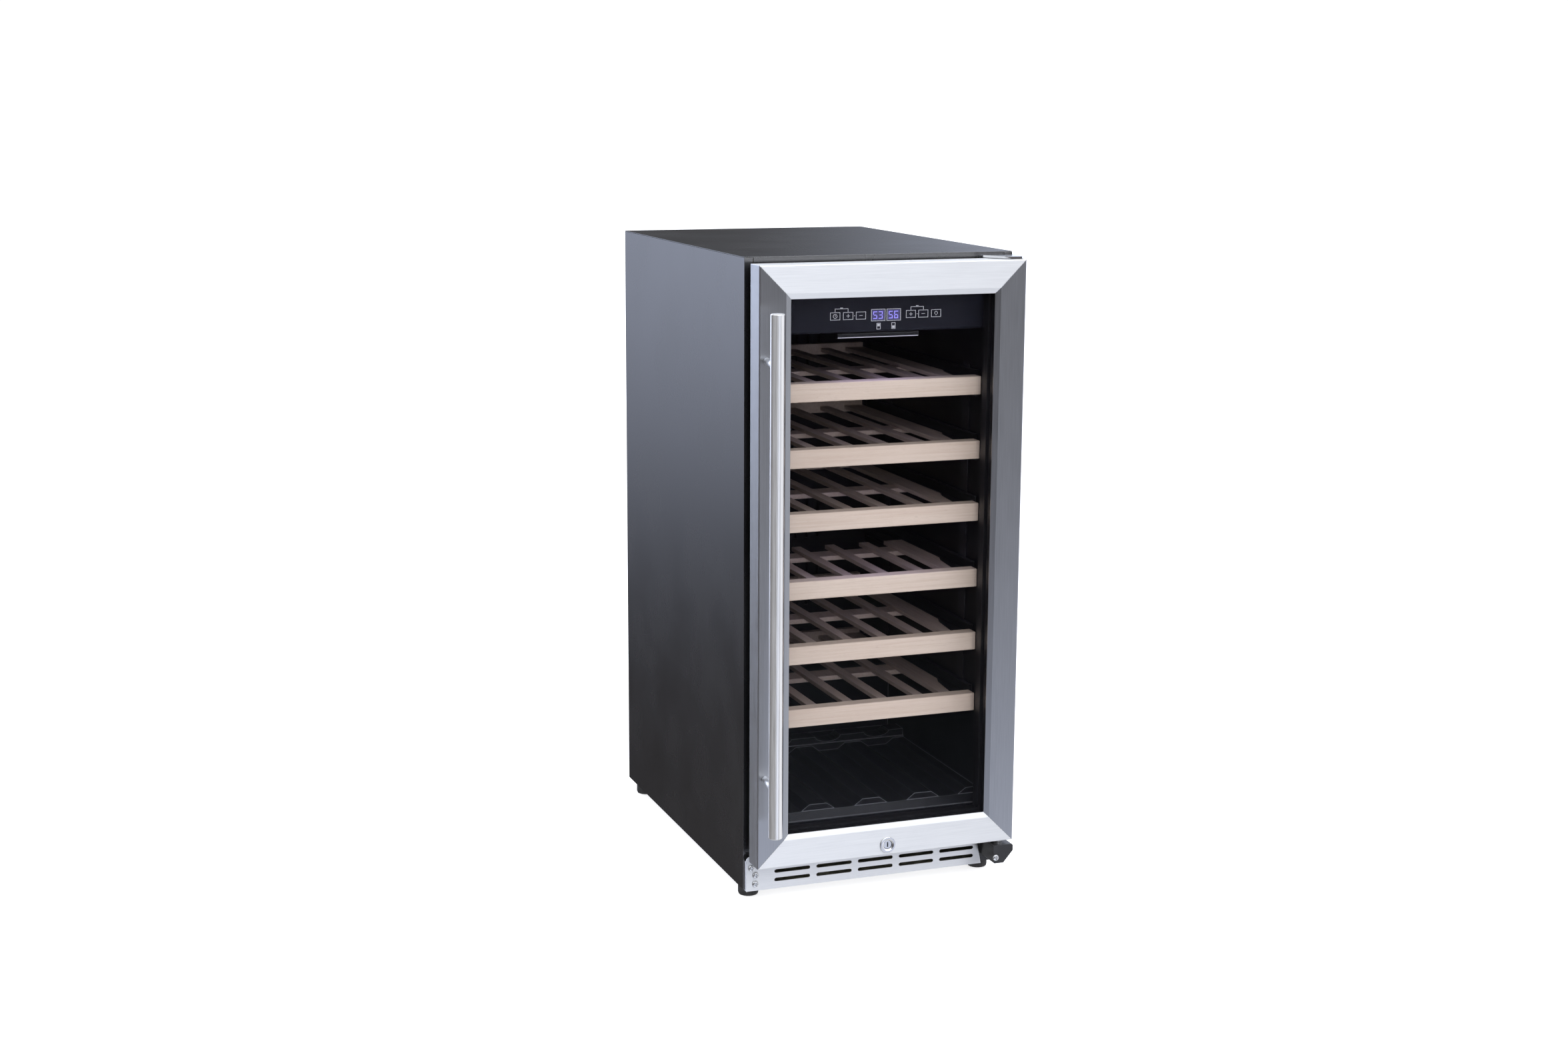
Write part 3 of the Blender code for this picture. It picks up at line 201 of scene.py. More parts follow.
def add_studio_world():
    """White to the camera, and a soft studio with light patches to everything else."""
    world = bpy.data.worlds.new("studio")
    bpy.context.scene.world = world
    world.use_nodes = True
    tree = world.node_tree
    tree.nodes.clear()
    towards = tree.nodes.new("ShaderNodeTexCoord").outputs["Generated"]
    split = tree.nodes.new("ShaderNodeSeparateXYZ")
    link(tree, towards, split.inputs[0])
    ramp = tree.nodes.new("ShaderNodeValToRGB")
    height = math_node(tree, "MULTIPLY_ADD", split.outputs["Z"], 0.5)
    height.node.inputs[2].default_value = 0.5
    link(tree, height, ramp.inputs["Fac"])
    elements = ramp.color_ramp.elements
    for sine, _ in STUDIO_RAMP[1:-1]:
        elements.new((sine + 1) / 2)
    for element, (sine, colour) in zip(elements, STUDIO_RAMP):
        element.position = (sine + 1) / 2
        element.color = (*colour, 1.0)
    total = ramp.outputs["Color"]
    for azimuth, elevation, inner, outer, strength, colour in STUDIO_PATCHES:
        dot = tree.nodes.new("ShaderNodeVectorMath")
        dot.operation = "DOT_PRODUCT"
        link(tree, towards, dot.inputs[0])
        dot.inputs[1].default_value = direction(azimuth, elevation)
        reach = tree.nodes.new("ShaderNodeMapRange")
        reach.interpolation_type = "SMOOTHSTEP"
        link(tree, dot.outputs["Value"], reach.inputs["Value"])
        reach.inputs["From Min"].default_value = cos(radians(outer))
        reach.inputs["From Max"].default_value = cos(radians(inner))
        reach.inputs["To Max"].default_value = strength
        add = tree.nodes.new("ShaderNodeMix")
        add.data_type = "RGBA"
        add.blend_type = "ADD"
        add.clamp_factor = False
        link(tree, reach.outputs["Result"], add.inputs["Factor"])
        link(tree, total, add.inputs[6])
        add.inputs[7].default_value = (*colour, 1.0)
        total = add.outputs[2]
    studio = tree.nodes.new("ShaderNodeBackground")
    link(tree, total, studio.inputs["Color"])
    plain = tree.nodes.new("ShaderNodeBackground")
    plain.inputs["Color"].default_value = (1.0, 1.0, 1.0, 1.0)
    plain.inputs["Strength"].default_value = SURROUND_STRENGTH
    seen = tree.nodes.new("ShaderNodeLightPath").outputs["Is Camera Ray"]
    choose = tree.nodes.new("ShaderNodeMixShader")
    link(tree, seen, choose.inputs["Fac"])
    link(tree, studio.outputs[0], choose.inputs[1])
    link(tree, plain.outputs[0], choose.inputs[2])
    output = tree.nodes.new("ShaderNodeOutputWorld")
    link(tree, choose.outputs[0], output.inputs["Surface"])


def add_floor():
    """A wide pale floor, bright enough to fade into the white surround."""
    maker = bmesh.new()
    bmesh.ops.create_grid(maker, x_segments=4, y_segments=4, size=30.0)
    mesh = bpy.data.meshes.new("floor")
    maker.to_mesh(mesh)
    maker.free()
    floor = bpy.data.objects.new("floor", mesh)
    bpy.context.collection.objects.link(floor)
    made = new_material("floor_paint", (0.62, 0.62, 0.63), 0.9, emission=(1.0, 1.0, 1.0),
                        glow=FLOOR_GLOW)
    mesh.materials.append(made)
    floor.visible_glossy = False


# Materials
def new_material(name, colour, roughness, metallic=0.0, emission=None, glow=0.0, **sockets):
    made = bpy.data.materials.new(name)
    made.use_nodes = True
    shader = made.node_tree.nodes["Principled BSDF"]
    shader.inputs["Base Color"].default_value = (*colour, 1.0)
    shader.inputs["Roughness"].default_value = roughness
    shader.inputs["Metallic"].default_value = metallic
    if emission:
        shader.inputs["Emission Color"].default_value = (*emission, 1.0)
        shader.inputs["Emission Strength"].default_value = glow
    for socket, value in sockets.items():
        shader.inputs[socket.replace("_", " ")].default_value = value
    return made


def principled(made):
    return made.node_tree.nodes["Principled BSDF"]


def place_node(made, scale):
    """Row-frame coordinates in metres, stretched by scale."""
    tree = made.node_tree
    mapping = tree.nodes.new("ShaderNodeMapping")
    link(tree, tree.nodes.new("ShaderNodeTexCoord").outputs["Object"], mapping.inputs["Vector"])
    mapping.inputs["Scale"].default_value = scale
    return mapping.outputs["Vector"]


def noise(made, scale, detail=2.0, roughness=0.5, distortion=0.0):
    tree = made.node_tree
    added = tree.nodes.new("ShaderNodeTexNoise")
    link(tree, place_node(made, scale), added.inputs["Vector"])
    added.inputs["Scale"].default_value = 1.0
    added.inputs["Detail"].default_value = detail
    added.inputs["Roughness"].default_value = roughness
    added.inputs["Distortion"].default_value = distortion
    return added.outputs["Fac"]


def cells(made, scale, output="Distance"):
    tree = made.node_tree
    added = tree.nodes.new("ShaderNodeTexVoronoi")
    link(tree, place_node(made, scale), added.inputs["Vector"])
    added.inputs["Scale"].default_value = 1.0
    return added.outputs[output]


def spread(made, value, low, high, to_low, to_high):
    """Maps a value from one range to another."""
    tree = made.node_tree
    added = tree.nodes.new("ShaderNodeMapRange")
    link(tree, value, added.inputs["Value"])
    added.inputs["From Min"].default_value = low
    added.inputs["From Max"].default_value = high
    added.inputs["To Min"].default_value = to_low
    added.inputs["To Max"].default_value = to_high
    return added.outputs["Result"]


def blend_colours(made, factor, first, second, how="MIX"):
    tree = made.node_tree
    added = tree.nodes.new("ShaderNodeMix")
    added.data_type = "RGBA"
    added.blend_type = how
    link(tree, factor, added.inputs["Factor"])
    for value, socket in ((first, added.inputs[6]), (second, added.inputs[7])):
        link(tree, (*value, 1.0) if isinstance(value, tuple) else value, socket)
    return added.outputs[2]


def relief(made, height, depth, strength=1.0, under=None):
    """Bump from a height that runs from 0 to 1 over depth metres."""
    tree = made.node_tree
    added = tree.nodes.new("ShaderNodeBump")
    added.inputs["Strength"].default_value = strength
    added.inputs["Distance"].default_value = depth
    link(tree, height, added.inputs["Height"])
    if under is not None:
        link(tree, under, added.inputs["Normal"])
    return added.outputs["Normal"]


def rounded(made, radius):
    """A normal that rounds sharp edges over."""
    added = made.node_tree.nodes.new("ShaderNodeBevel")
    added.samples = 4
    added.inputs["Radius"].default_value = radius
    return added.outputs["Normal"]


def finish_surface(made, colour=None, roughness=None, normal=None):
    tree = made.node_tree
    shader = principled(made)
    for value, socket in ((colour, "Base Color"), (roughness, "Roughness"), (normal, "Normal")):
        if value is not None:
            link(tree, value, shader.inputs[socket])
    return made


def painted_steel():
    """Satin metallic grey coat with a faint orange peel."""
    made = new_material("painted_steel", (0.25, 0.25, 0.255), 0.26, 1.0,
                        Specular_Tint=(0.36, 0.36, 0.36, 1.0))
    cloud = noise(made, (9, 9, 9), 3)
    peel = noise(made, (900, 900, 900), 2)
    colour = blend_colours(made, cloud, (0.238, 0.238, 0.243), (0.262, 0.262, 0.267))
    rough = spread(made, cloud, 0.3, 0.7, 0.24, 0.29)
    return finish_surface(made, colour, rough, relief(made, peel, 0.00002, 0.25, rounded(made, 0.0008)))


def glint_along(made, axis):
    """Stretches the material's highlights along a fixed axis of the object."""
    tree = made.node_tree
    towards = tree.nodes.new("ShaderNodeCombineXYZ")
    towards.inputs[axis].default_value = 1.0
    turned = tree.nodes.new("ShaderNodeVectorTransform")
    turned.vector_type = "VECTOR"
    turned.convert_from = "OBJECT"
    turned.convert_to = "WORLD"
    link(tree, towards.outputs[0], turned.inputs[0])
    link(tree, turned.outputs[0], principled(made).inputs["Tangent"])


def brushed_steel(name, scale, colours, rough, glint):
    """Stainless sheet brushed along one axis: fine streaks over broad, faint bands."""
    made = new_material(name, colours[0], rough, 1.0, Anisotropic=0.85)
    glint_along(made, glint)
    fine = noise(made, tuple(value * 3.2 for value in scale), 3, 0.6)
    broad = noise(made, tuple(value * 0.35 for value in scale), 2)
    colour = blend_colours(made, spread(made, fine, 0.3, 0.7, 0, 1), colours[0], colours[1])
    colour = blend_colours(made, spread(made, broad, 0.3, 0.7, 0.0, 0.5), colour, colours[1])
    wear = spread(made, fine, 0.25, 0.75, rough - 0.05, rough + 0.07)
    return finish_surface(made, colour, wear, relief(made, fine, 0.00001, 0.35, rounded(made, 0.0005)))


def polished_metal(name, colour, rough):
    made = new_material(name, colour, rough, 1.0)
    smear = noise(made, (130, 130, 130), 3)
    wear = spread(made, smear, 0.3, 0.7, rough * 0.7, rough * 1.5)
    tint = blend_colours(made, smear, tuple(value * 0.93 for value in colour), colour)
    return finish_surface(made, tint, wear, rounded(made, 0.0003))


def galvanised():
    """Zinc-coated sheet with its spangle."""
    made = new_material("galvanised_sheet", (0.45, 0.46, 0.47), 0.42, 1.0)
    spangle = cells(made, (75, 75, 75), "Color")
    grey = made.node_tree.nodes.new("ShaderNodeRGBToBW")
    link(made.node_tree, spangle, grey.inputs[0])
    colour = blend_colours(made, grey.outputs[0], (0.38, 0.39, 0.40), (0.56, 0.57, 0.58))
    rough = spread(made, grey.outputs[0], 0, 1, 0.36, 0.52)
    fine = noise(made, (1500, 1500, 1500), 2)
    return finish_surface(made, colour, rough, relief(made, fine, 0.00001, 0.3, rounded(made, 0.0004)))


def edge_mask(made, radius):
    """Runs from 0 on flat faces to 1 on edges that a bevel of this radius would round."""
    tree = made.node_tree
    bevel = tree.nodes.new("ShaderNodeBevel")
    bevel.samples = 8
    bevel.inputs["Radius"].default_value = radius
    plain = tree.nodes.new("ShaderNodeNewGeometry").outputs["Normal"]
    dot = tree.nodes.new("ShaderNodeVectorMath")
    dot.operation = "DOT_PRODUCT"
    link(tree, bevel.outputs["Normal"], dot.inputs[0])
    link(tree, plain, dot.inputs[1])
    return spread(made, dot.outputs["Value"], 0.99, 0.82, 0.0, 1.0)


def liner_plastic():
    """Glossy thermoformed sheet, paler on its edges: a painted highlight where rounded edges would catch
    the light.
    """
    made = new_material("liner_plastic", (0.007, 0.007, 0.010), 0.36)
    cloud = noise(made, (14, 14, 14), 3)
    spots = cells(made, (650, 650, 650))
    tint = blend_colours(made, cloud, (0.0055, 0.0055, 0.008), (0.009, 0.009, 0.012))
    # Painted highlight: the edges turn pale as if they caught the light
    tint = blend_colours(made, edge_mask(made, 0.0016), tint, (0.30, 0.31, 0.34))
    wear = spread(made, cloud, 0.3, 0.7, 0.32, 0.42)
    return finish_surface(made, tint, wear, relief(made, spots, 0.00003, 0.25, rounded(made, 0.0012)))


def moulded_plastic(name, colour, rough):
    """Moulded black plastic with a fine spark-eroded grain."""
    made = new_material(name, colour, rough)
    cloud = noise(made, (14, 14, 14), 3)
    spots = cells(made, (700, 700, 700))
    low = tuple(value * 0.85 for value in colour)
    high = tuple(value * 1.2 for value in colour)
    tint = blend_colours(made, cloud, low, high)
    wear = spread(made, cloud, 0.3, 0.7, rough - 0.05, rough + 0.05)
    return finish_surface(made, tint, wear, relief(made, spots, 0.00004, 0.3, rounded(made, 0.0008)))


def soft_rubber():
    made = new_material("black_rubber", (0.016, 0.016, 0.017), 0.72)
    dust = noise(made, (60, 60, 60), 4)
    dusty = spread(made, dust, 0.45, 0.75, 0, 1)
    tint = blend_colours(made, dusty, (0.012, 0.012, 0.013), (0.035, 0.034, 0.034))
    wear = spread(made, dust, 0.3, 0.7, 0.62, 0.82)
    return finish_surface(made, tint, wear, relief(made, dust, 0.00006, 0.4))


def foam():
    made = new_material("polyurethane_foam", (0.75, 0.68, 0.42), 0.9)
    bubbles = cells(made, (450, 450, 450))
    tint = blend_colours(made, bubbles, (0.70, 0.62, 0.36), (0.84, 0.77, 0.52))
    return finish_surface(made, tint, None, relief(made, bubbles, 0.0004, 0.8))


def pane(name, tint, mirror):
    """Clear glass: mirrors more at a slant, and lets the rest through with a tint."""
    made = bpy.data.materials.new(name)
    made.use_nodes = True
    tree = made.node_tree
    tree.nodes.clear()
    clear = tree.nodes.new("ShaderNodeBsdfTransparent")
    clear.inputs["Color"].default_value = (*tint, 1.0)
    gloss = tree.nodes.new("ShaderNodeBsdfGlossy")
    gloss.inputs["Roughness"].default_value = 0.02
    gloss.inputs["Color"].default_value = (mirror, mirror, mirror, 1.0)
    slant = tree.nodes.new("ShaderNodeLayerWeight")
    slant.inputs["Blend"].default_value = 0.5
    steep = math_node(tree, "POWER", slant.outputs["Facing"], 5.0)
    share = math_node(tree, "MULTIPLY_ADD", steep, 0.96)
    share.node.inputs[2].default_value = 0.04
    both = tree.nodes.new("ShaderNodeMixShader")
    link(tree, share, both.inputs["Fac"])
    link(tree, clear.outputs[0], both.inputs[1])
    link(tree, gloss.outputs[0], both.inputs[2])
    output = tree.nodes.new("ShaderNodeOutputMaterial")
    link(tree, both.outputs[0], output.inputs["Surface"])
    return made


def beech(name, along, pale, dark, slide_from=None):
    """Planed beech: long grain along one axis, short dark pores and slow changes of tone.

    Beyond slide_from to either side, the runner carries a black steel slide.
    """
    made = new_material(name, pale, 0.55)
    slow = [26.0, 26.0, 26.0]
    slow[along] = 2.2
    grain = [420.0, 420.0, 420.0]
    grain[along] = 9.0
    pores = [1500.0, 1500.0, 1500.0]
    pores[along] = 110.0
    tone = noise(made, slow, 3, 0.5, 0.6)
    lines = noise(made, grain, 4, 0.6, 0.3)
    flecks = noise(made, pores, 2, 0.5)
    mid = tuple((one + two) / 2 for one, two in zip(pale, dark))
    colour = blend_colours(made, spread(made, tone, 0.3, 0.7, 0, 1), pale, mid)
    colour = blend_colours(made, spread(made, lines, 0.42, 0.75, 0, 0.75), colour, dark)
    colour = blend_colours(made, spread(made, flecks, 0.62, 0.78, 0, 0.55), colour,
                           tuple(value * 0.62 for value in dark))
    if slide_from is not None:
        split = made.node_tree.nodes.new("ShaderNodeSeparateXYZ")
        link(made.node_tree, place_node(made, (1, 1, 1)), split.inputs[0])
        aside = math_node(made.node_tree, "ABSOLUTE", split.outputs["X"])
        beyond = spread(made, aside, slide_from - 0.0001, slide_from + 0.0001, 0, 1)
        colour = blend_colours(made, beyond, colour, (0.012, 0.012, 0.015))
    wear = spread(made, lines, 0.3, 0.7, 0.48, 0.62)
    return finish_surface(made, colour, wear, relief(made, lines, 0.00012, 0.35, rounded(made, 0.0012)))


def slide_steel():
    """Black-coated steel of the shelf channels, rubbed a little by the runners."""
    made = new_material("slide_steel", (0.030, 0.031, 0.036), 0.38, 0.3)
    rub = noise(made, (60, 4, 60), 3)
    rubbed = spread(made, rub, 0.4, 0.75, 0, 1)
    tint = blend_colours(made, rubbed, (0.022, 0.022, 0.026), (0.060, 0.062, 0.070))
    wear = spread(made, rub, 0.3, 0.7, 0.30, 0.46)
    return finish_surface(made, tint, wear, rounded(made, 0.0004))


def glossy_film():
    """Printed panel film: near black with a cold tint, smooth and slightly wavy."""
    made = new_material("panel_film", (0.018, 0.019, 0.028), 0.16)
    wave = noise(made, (18, 18, 18), 2)
    tint = blend_colours(made, wave, (0.016, 0.017, 0.025), (0.021, 0.022, 0.033))
    return finish_surface(made, tint, spread(made, wave, 0.3, 0.7, 0.12, 0.2), rounded(made, 0.0006))


def lit_diffuser():
    made = new_material("light_diffuser", (0.010, 0.010, 0.012), 0.35)
    frost = noise(made, (800, 800, 800), 2)
    tint = blend_colours(made, frost, (0.008, 0.008, 0.010), (0.013, 0.013, 0.016))
    return finish_surface(made, tint, spread(made, frost, 0.3, 0.7, 0.3, 0.42))


def glowing(name, colour, strength):
    made = new_material(name, colour, 0.4, emission=colour, glow=strength)
    grain = noise(made, (2500, 2500, 2500), 1)
    return finish_surface(made, blend_colours(made, grain, tuple(value * 0.8 for value in colour), colour))


def finned_aluminium():
    made = new_material("fin_stock", (0.62, 0.63, 0.65), 0.38, 1.0)
    fins = noise(made, (1100, 12, 12), 1)
    tint = blend_colours(made, spread(made, fins, 0.35, 0.65, 0, 1), (0.42, 0.43, 0.45), (0.74, 0.75, 0.77))
    return finish_surface(made, tint, None, relief(made, fins, 0.0004, 0.7))


def black_enamel():
    made = new_material("black_enamel", (0.014, 0.014, 0.015), 0.3)
    peel = noise(made, (500, 500, 500), 2)
    cloud = noise(made, (20, 20, 20), 3)
    tint = blend_colours(made, cloud, (0.012, 0.012, 0.013), (0.020, 0.020, 0.022))
    wear = spread(made, cloud, 0.3, 0.7, 0.26, 0.38)
    return finish_surface(made, tint, wear, relief(made, peel, 0.00005, 0.35, rounded(made, 0.0012)))


ALONG_X = (5.0, 260.0, 260.0)
ALONG_Z = (260.0, 260.0, 5.0)
kit = {
    "painted": painted_steel(),
    # The level rails and kick plate take a pale copy of the stainless steel, a painted highlight; the
    # upright rails take a darker, cooler copy, painted shade and a painted cool reflection
    "steel_x": brushed_steel("brushed_steel_x", ALONG_X,
                             ((0.78, 0.785, 0.785), (0.87, 0.875, 0.875)), 0.44, "Z"),
    "steel_z": brushed_steel("brushed_steel_z", ALONG_Z,
                             ((0.445, 0.465, 0.50), (0.54, 0.56, 0.60)), 0.36, "X"),
    "handle": brushed_steel("handle_steel", ALONG_Z, ((0.84, 0.84, 0.84), (0.92, 0.92, 0.92)), 0.33, "Z"),
    "chrome": polished_metal("chrome", (0.80, 0.81, 0.83), 0.10),
    "zinc": galvanised(),
    "bright_zinc": polished_metal("bright_zinc", (0.66, 0.67, 0.68), 0.24),
    "liner": liner_plastic(),
    # The mouth bead is far paler than the liner it is part of: a painted highlight along the rounded edge
    "bead": moulded_plastic("bead_plastic", (0.10, 0.103, 0.115), 0.30),
    "black": moulded_plastic("black_plastic", (0.010, 0.010, 0.012), 0.45),
    "rubber": soft_rubber(),
    "foam": foam(),
    "glass_outer": pane("glass_outer", (0.955, 0.957, 0.965), 0.09),
    "glass_inner": pane("glass_inner", (0.975, 0.976, 0.98), 0.04),
    # The slats take a darker copy of the same beech as the strips: painted shade for the shade inside the
    # cabinet
    "beech_x": beech("beech_strip", 0, (0.84, 0.70, 0.585), (0.68, 0.53, 0.425)),
    "beech_y": beech("beech_slat", 1, (0.50, 0.405, 0.355), (0.33, 0.26, 0.23), 0.1400),
    "slides": slide_steel(),
    "film": glossy_film(),
    "diffuser": lit_diffuser(),
    "led": glowing("led_light", (0.74, 0.72, 0.84), 0.50),
    "digits": glowing("digit_light", (0.36, 0.32, 1.0), 0.75),
    "digit_ground": glowing("digit_ground", (0.10, 0.09, 0.24), 0.15),
    # The icon print glows, though it is print and no lamp: painted light that makes it stand out bright
    "icons": glowing("icon_print", (0.66, 0.67, 0.72), 0.22),
    "fins": finned_aluminium(),
    "enamel": black_enamel(),
}

NODE_MATERIALS = {
    "painted": ("left_side_panel", "right_side_panel", "top_panel"),
    "steel_x": ("door_frame_top", "door_frame_bottom", "kick_plate"),
    "steel_z": ("door_frame_left", "door_frame_right"),
    "handle": ("handle_bar", "handle_post_upper", "handle_post_lower"),
    "chrome": ("top_hinge_plate", "top_hinge_screw", "lock_barrel", "lock_plug", "bottom_hinge_pin"),
    "zinc": ("rear_panel", "machine_cover", "base_pan"),
    "slides": ("left_shelf_rails", "right_shelf_rails"),
    "bright_zinc": ("kick_plate_screw_1", "kick_plate_screw_2", "kick_plate_screw_3",
                    "bottom_hinge_screw", "lock_cam"),
    "liner": ("inner_liner",),
    "black": ("door_inner_frame", "evaporator_cover", "condenser_fan_frame", "condenser_fan",
              "circulation_fan", "power_inlet", "glass_spacer"),
    "rubber": ("door_gasket", "foot_front_left", "foot_front_right", "foot_rear_left", "foot_rear_right"),
    "foam": ("foam_insulation",),
    "glass_outer": ("door_glass_outer",),
    "glass_inner": ("door_glass_inner",),
    "beech_x": tuple(f"shelf_{number}_front" for number in range(1, SHELF_COUNT + 1)),
    "beech_y": tuple(f"shelf_{number}_rack" for number in range(1, SHELF_COUNT + 1)),
    "film": ("control_panel",),
    "diffuser": ("light_strip",),
    "fins": ("evaporator_coil", "condenser"),
    "enamel": ("compressor", "bottom_hinge_bracket"),
}
for surface, names in NODE_MATERIALS.items():
    for name in names:
        mesh = nodes[name].data
        if not mesh.materials:
            mesh.materials.append(None)
        for index in range(len(mesh.materials)):
            mesh.materials[index] = kit[surface]


# Mesh helpers
def add_piece(name, maker, surface, body, smooth=False):
    bmesh.ops.recalc_face_normals(maker, faces=maker.faces)
    mesh = bpy.data.meshes.new(name)
    maker.to_mesh(mesh)
    maker.free()
    mesh.materials.append(kit[surface])
    made = bpy.data.objects.new(name, mesh)
    bpy.context.collection.objects.link(made)
    if smooth:
        mesh.shade_smooth()
        mesh.set_sharp_from_angle(angle=SMOOTH_ANGLE)
    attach(made, body)
    return made


def add_plate(maker, outline, y_front, y_back):
    """A flat plate facing -Y, cut to an outline of (x, z) points."""
    front = [maker.verts.new((x, y_front, z)) for x, z in outline]
    back = [maker.verts.new((x, y_back, z)) for x, z in outline]
    maker.faces.new(front)
    maker.faces.new(back[::-1])
    for index in range(len(outline)):
        after = (index + 1) % len(outline)
        maker.faces.new((front[index], back[index], back[after], front[after]))


def rectangle(left, low, right, high):
    return [(left, low), (right, low), (right, high), (left, high)]


# Touch panel
def add_bar(maker, left, low, right, high):
    add_plate(maker, rectangle(left, low, right, high), PANEL_FACE - PRINT, PANEL_FACE)


def add_outline(maker, left, low, right, high, line):
    """A rectangular frame of four bars that meet without overlapping."""
    add_bar(maker, left, low, right, low + line)
    add_bar(maker, left, high - line, right, high)
    add_bar(maker, left, low + line, left + line, high - line)
    add_bar(maker, right - line, low + line, right, high - line)


def add_circle_line(maker, x, z, radius, line, segments=20, start=0.0, end=2 * pi):
    """A ring, or part of one, drawn as a thin flat band."""
    full = end - start >= 2 * pi
    count = segments if full else segments + 1
    rings = []
    for step in range(count):
        angle = start + (end - start) * step / segments
        ring = []
        for reach in (radius - line / 2, radius + line / 2):
            for depth in (PANEL_FACE - PRINT, PANEL_FACE):
                ring.append(maker.verts.new((x + reach * cos(angle), depth, z + reach * sin(angle))))
        rings.append(ring)
    pairs = list(zip(rings, rings[1:]))
    if full:
        pairs.append((rings[-1], rings[0]))
    for one, two in pairs:
        for first, second in ((0, 1), (1, 3), (3, 2), (2, 0)):
            maker.faces.new((one[first], one[second], two[second], two[first]))
    if not full:
        for ring in (rings[0], rings[-1]):
            maker.faces.new((ring[0], ring[1], ring[3], ring[2]))


def draw_key(maker, left, sign):
    right = left + KEY_WIDTH
    x = (left + right) / 2
    z = (KEY_LOW + KEY_HIGH) / 2
    add_outline(maker, left, KEY_LOW, right, KEY_HIGH, LINE)
    if sign in ("plus", "minus"):
        add_bar(maker, x - KEY_ARM, z - LINE / 2, x + KEY_ARM, z + LINE / 2)
    if sign == "plus":
        add_bar(maker, x - LINE / 2, z + LINE / 2, x + LINE / 2, z + KEY_ARM)
        add_bar(maker, x - LINE / 2, z - KEY_ARM, x + LINE / 2, z - LINE / 2)
    if sign == "power":
        add_circle_line(maker, x, z, 0.0027, LINE)
        add_bar(maker, x - LINE / 2, z - 0.0010, x + LINE / 2, z + 0.0016)
    if sign == "lamp":
        add_circle_line(maker, x, z + 0.0004, 0.0020, LINE, 16, radians(-50), radians(230))
        add_bar(maker, x - 0.0011, z - 0.0024, x + 0.0011, z - 0.0018)


def draw_bracket(maker, left, right):
    """The line that ties two keys together, with a mark in its middle."""
    high = KEY_HIGH + 0.0048
    add_bar(maker, left, high - LINE, right, high)
    add_bar(maker, left, KEY_HIGH + 0.0004, left + LINE, high - LINE)
    add_bar(maker, right - LINE, KEY_HIGH + 0.0004, right, high - LINE)
    middle = (left + right) / 2
    add_bar(maker, middle - 0.0018, high + 0.0003, middle + 0.0018, high + 0.0013)


def draw_zone(maker, left, low, upper):
    """A small cabinet outline with its upper or lower zone filled in."""
    right = left + 0.0056
    high = low + 0.0082
    add_outline(maker, left, low, right, high, LINE)
    middle = (low + high) / 2
    if upper:
        add_bar(maker, left + 0.0011, middle + 0.0003, right - 0.0011, high - 0.0011)
        add_bar(maker, left + LINE, middle - 0.0003, right - LINE, middle)
    else:
        add_bar(maker, left + 0.0011, low + 0.0011, right - 0.0011, middle - 0.0003)
        add_bar(maker, left + LINE, middle, right - LINE, middle + 0.0003)


def draw_digit(maker, digit, x, z, width, height):
    """Seven-segment figure whose lower left corner is at (x, z)."""
    thick = DIGIT_STROKE
    middle = z + height / 2
    bars = {
        "a": (x, z + height - thick, x + width, z + height),
        "g": (x + thick, middle - thick / 2, x + width - thick, middle + thick / 2),
        "d": (x, z, x + width, z + thick),
        "f": (x, middle + thick / 2, x + thick, z + height - thick),
        "b": (x + width - thick, middle + thick / 2, x + width, z + height - thick),
        "e": (x, z + thick, x + thick, middle - thick / 2),
        "c": (x + width - thick, z + thick, x + width, middle - thick / 2),
    }
    for segment in SEGMENTS[digit]:
        add_bar(maker, *bars[segment])


def touch_panel():
    maker = bmesh.new()
    for left, sign in KEYS:
        draw_key(maker, left, sign)
    draw_bracket(maker, KEYS[0][0] + 0.0066, KEYS[1][0] + 0.0072)
    draw_bracket(maker, KEYS[3][0] + 0.0066, KEYS[4][0] + 0.0076)
    for left in (KEYS[1][0], KEYS[3][0]):
        middle = left + KEY_WIDTH + 0.0019
        add_bar(maker, middle - 0.0006, 0.7896, middle + 0.0006, 0.7903)
    draw_zone(maker, -0.0049, 0.7711, True)
    draw_zone(maker, 0.0163, 0.7713, False)
    for left, right in DISPLAYS:
        add_outline(maker, left, DISPLAY_LOW, right, DISPLAY_HIGH, DISPLAY_LINE)
    add_piece("panel_print", maker, "icons", "cabinet")
    maker = bmesh.new()
    for left, right in DISPLAYS:
        window = rectangle(left + WINDOW_INSET, DISPLAY_LOW + WINDOW_INSET,
                           right - WINDOW_INSET, DISPLAY_HIGH - WINDOW_INSET)
        add_plate(maker, window, PANEL_FACE - PRINT / 3, PANEL_FACE)
    add_piece("panel_windows", maker, "digit_ground", "cabinet")
    maker = bmesh.new()
    for (left, _), figures in zip(DISPLAYS, ("53", "56")):
        for place, figure in enumerate(figures):
            x = left + DIGIT_LEFT + DIGIT_PITCH * place
            draw_digit(maker, figure, x, DISPLAY_LOW + DIGIT_RISE, DIGIT_WIDTH, DIGIT_HEIGHT)
    add_piece("panel_digits", maker, "digits", "cabinet")


def led_line():
    """The lit lens along the light strip's lower front edge."""
    maker = bmesh.new()
    half = LIGHT_HIGH.x - 0.0006
    low = LIGHT_LOW.z + 0.0005
    section = []
    for step in range(7):
        angle = pi * step / 6
        section.append((LIGHT_LOW.y + 0.0016 - 0.0012 * sin(angle), low + 0.0009 - 0.0008 * cos(angle)))
    ends = []
    for x in (-half, half):
        ends.append([maker.verts.new((x, y, z)) for y, z in section])
    maker.faces.new(ends[0])
    maker.faces.new(ends[1][::-1])
    for index in range(len(section)):
        after = (index + 1) % len(section)
        maker.faces.new((ends[0][index], ends[0][after], ends[1][after], ends[1][index]))
    add_piece("led_line", maker, "led", "cabinet")


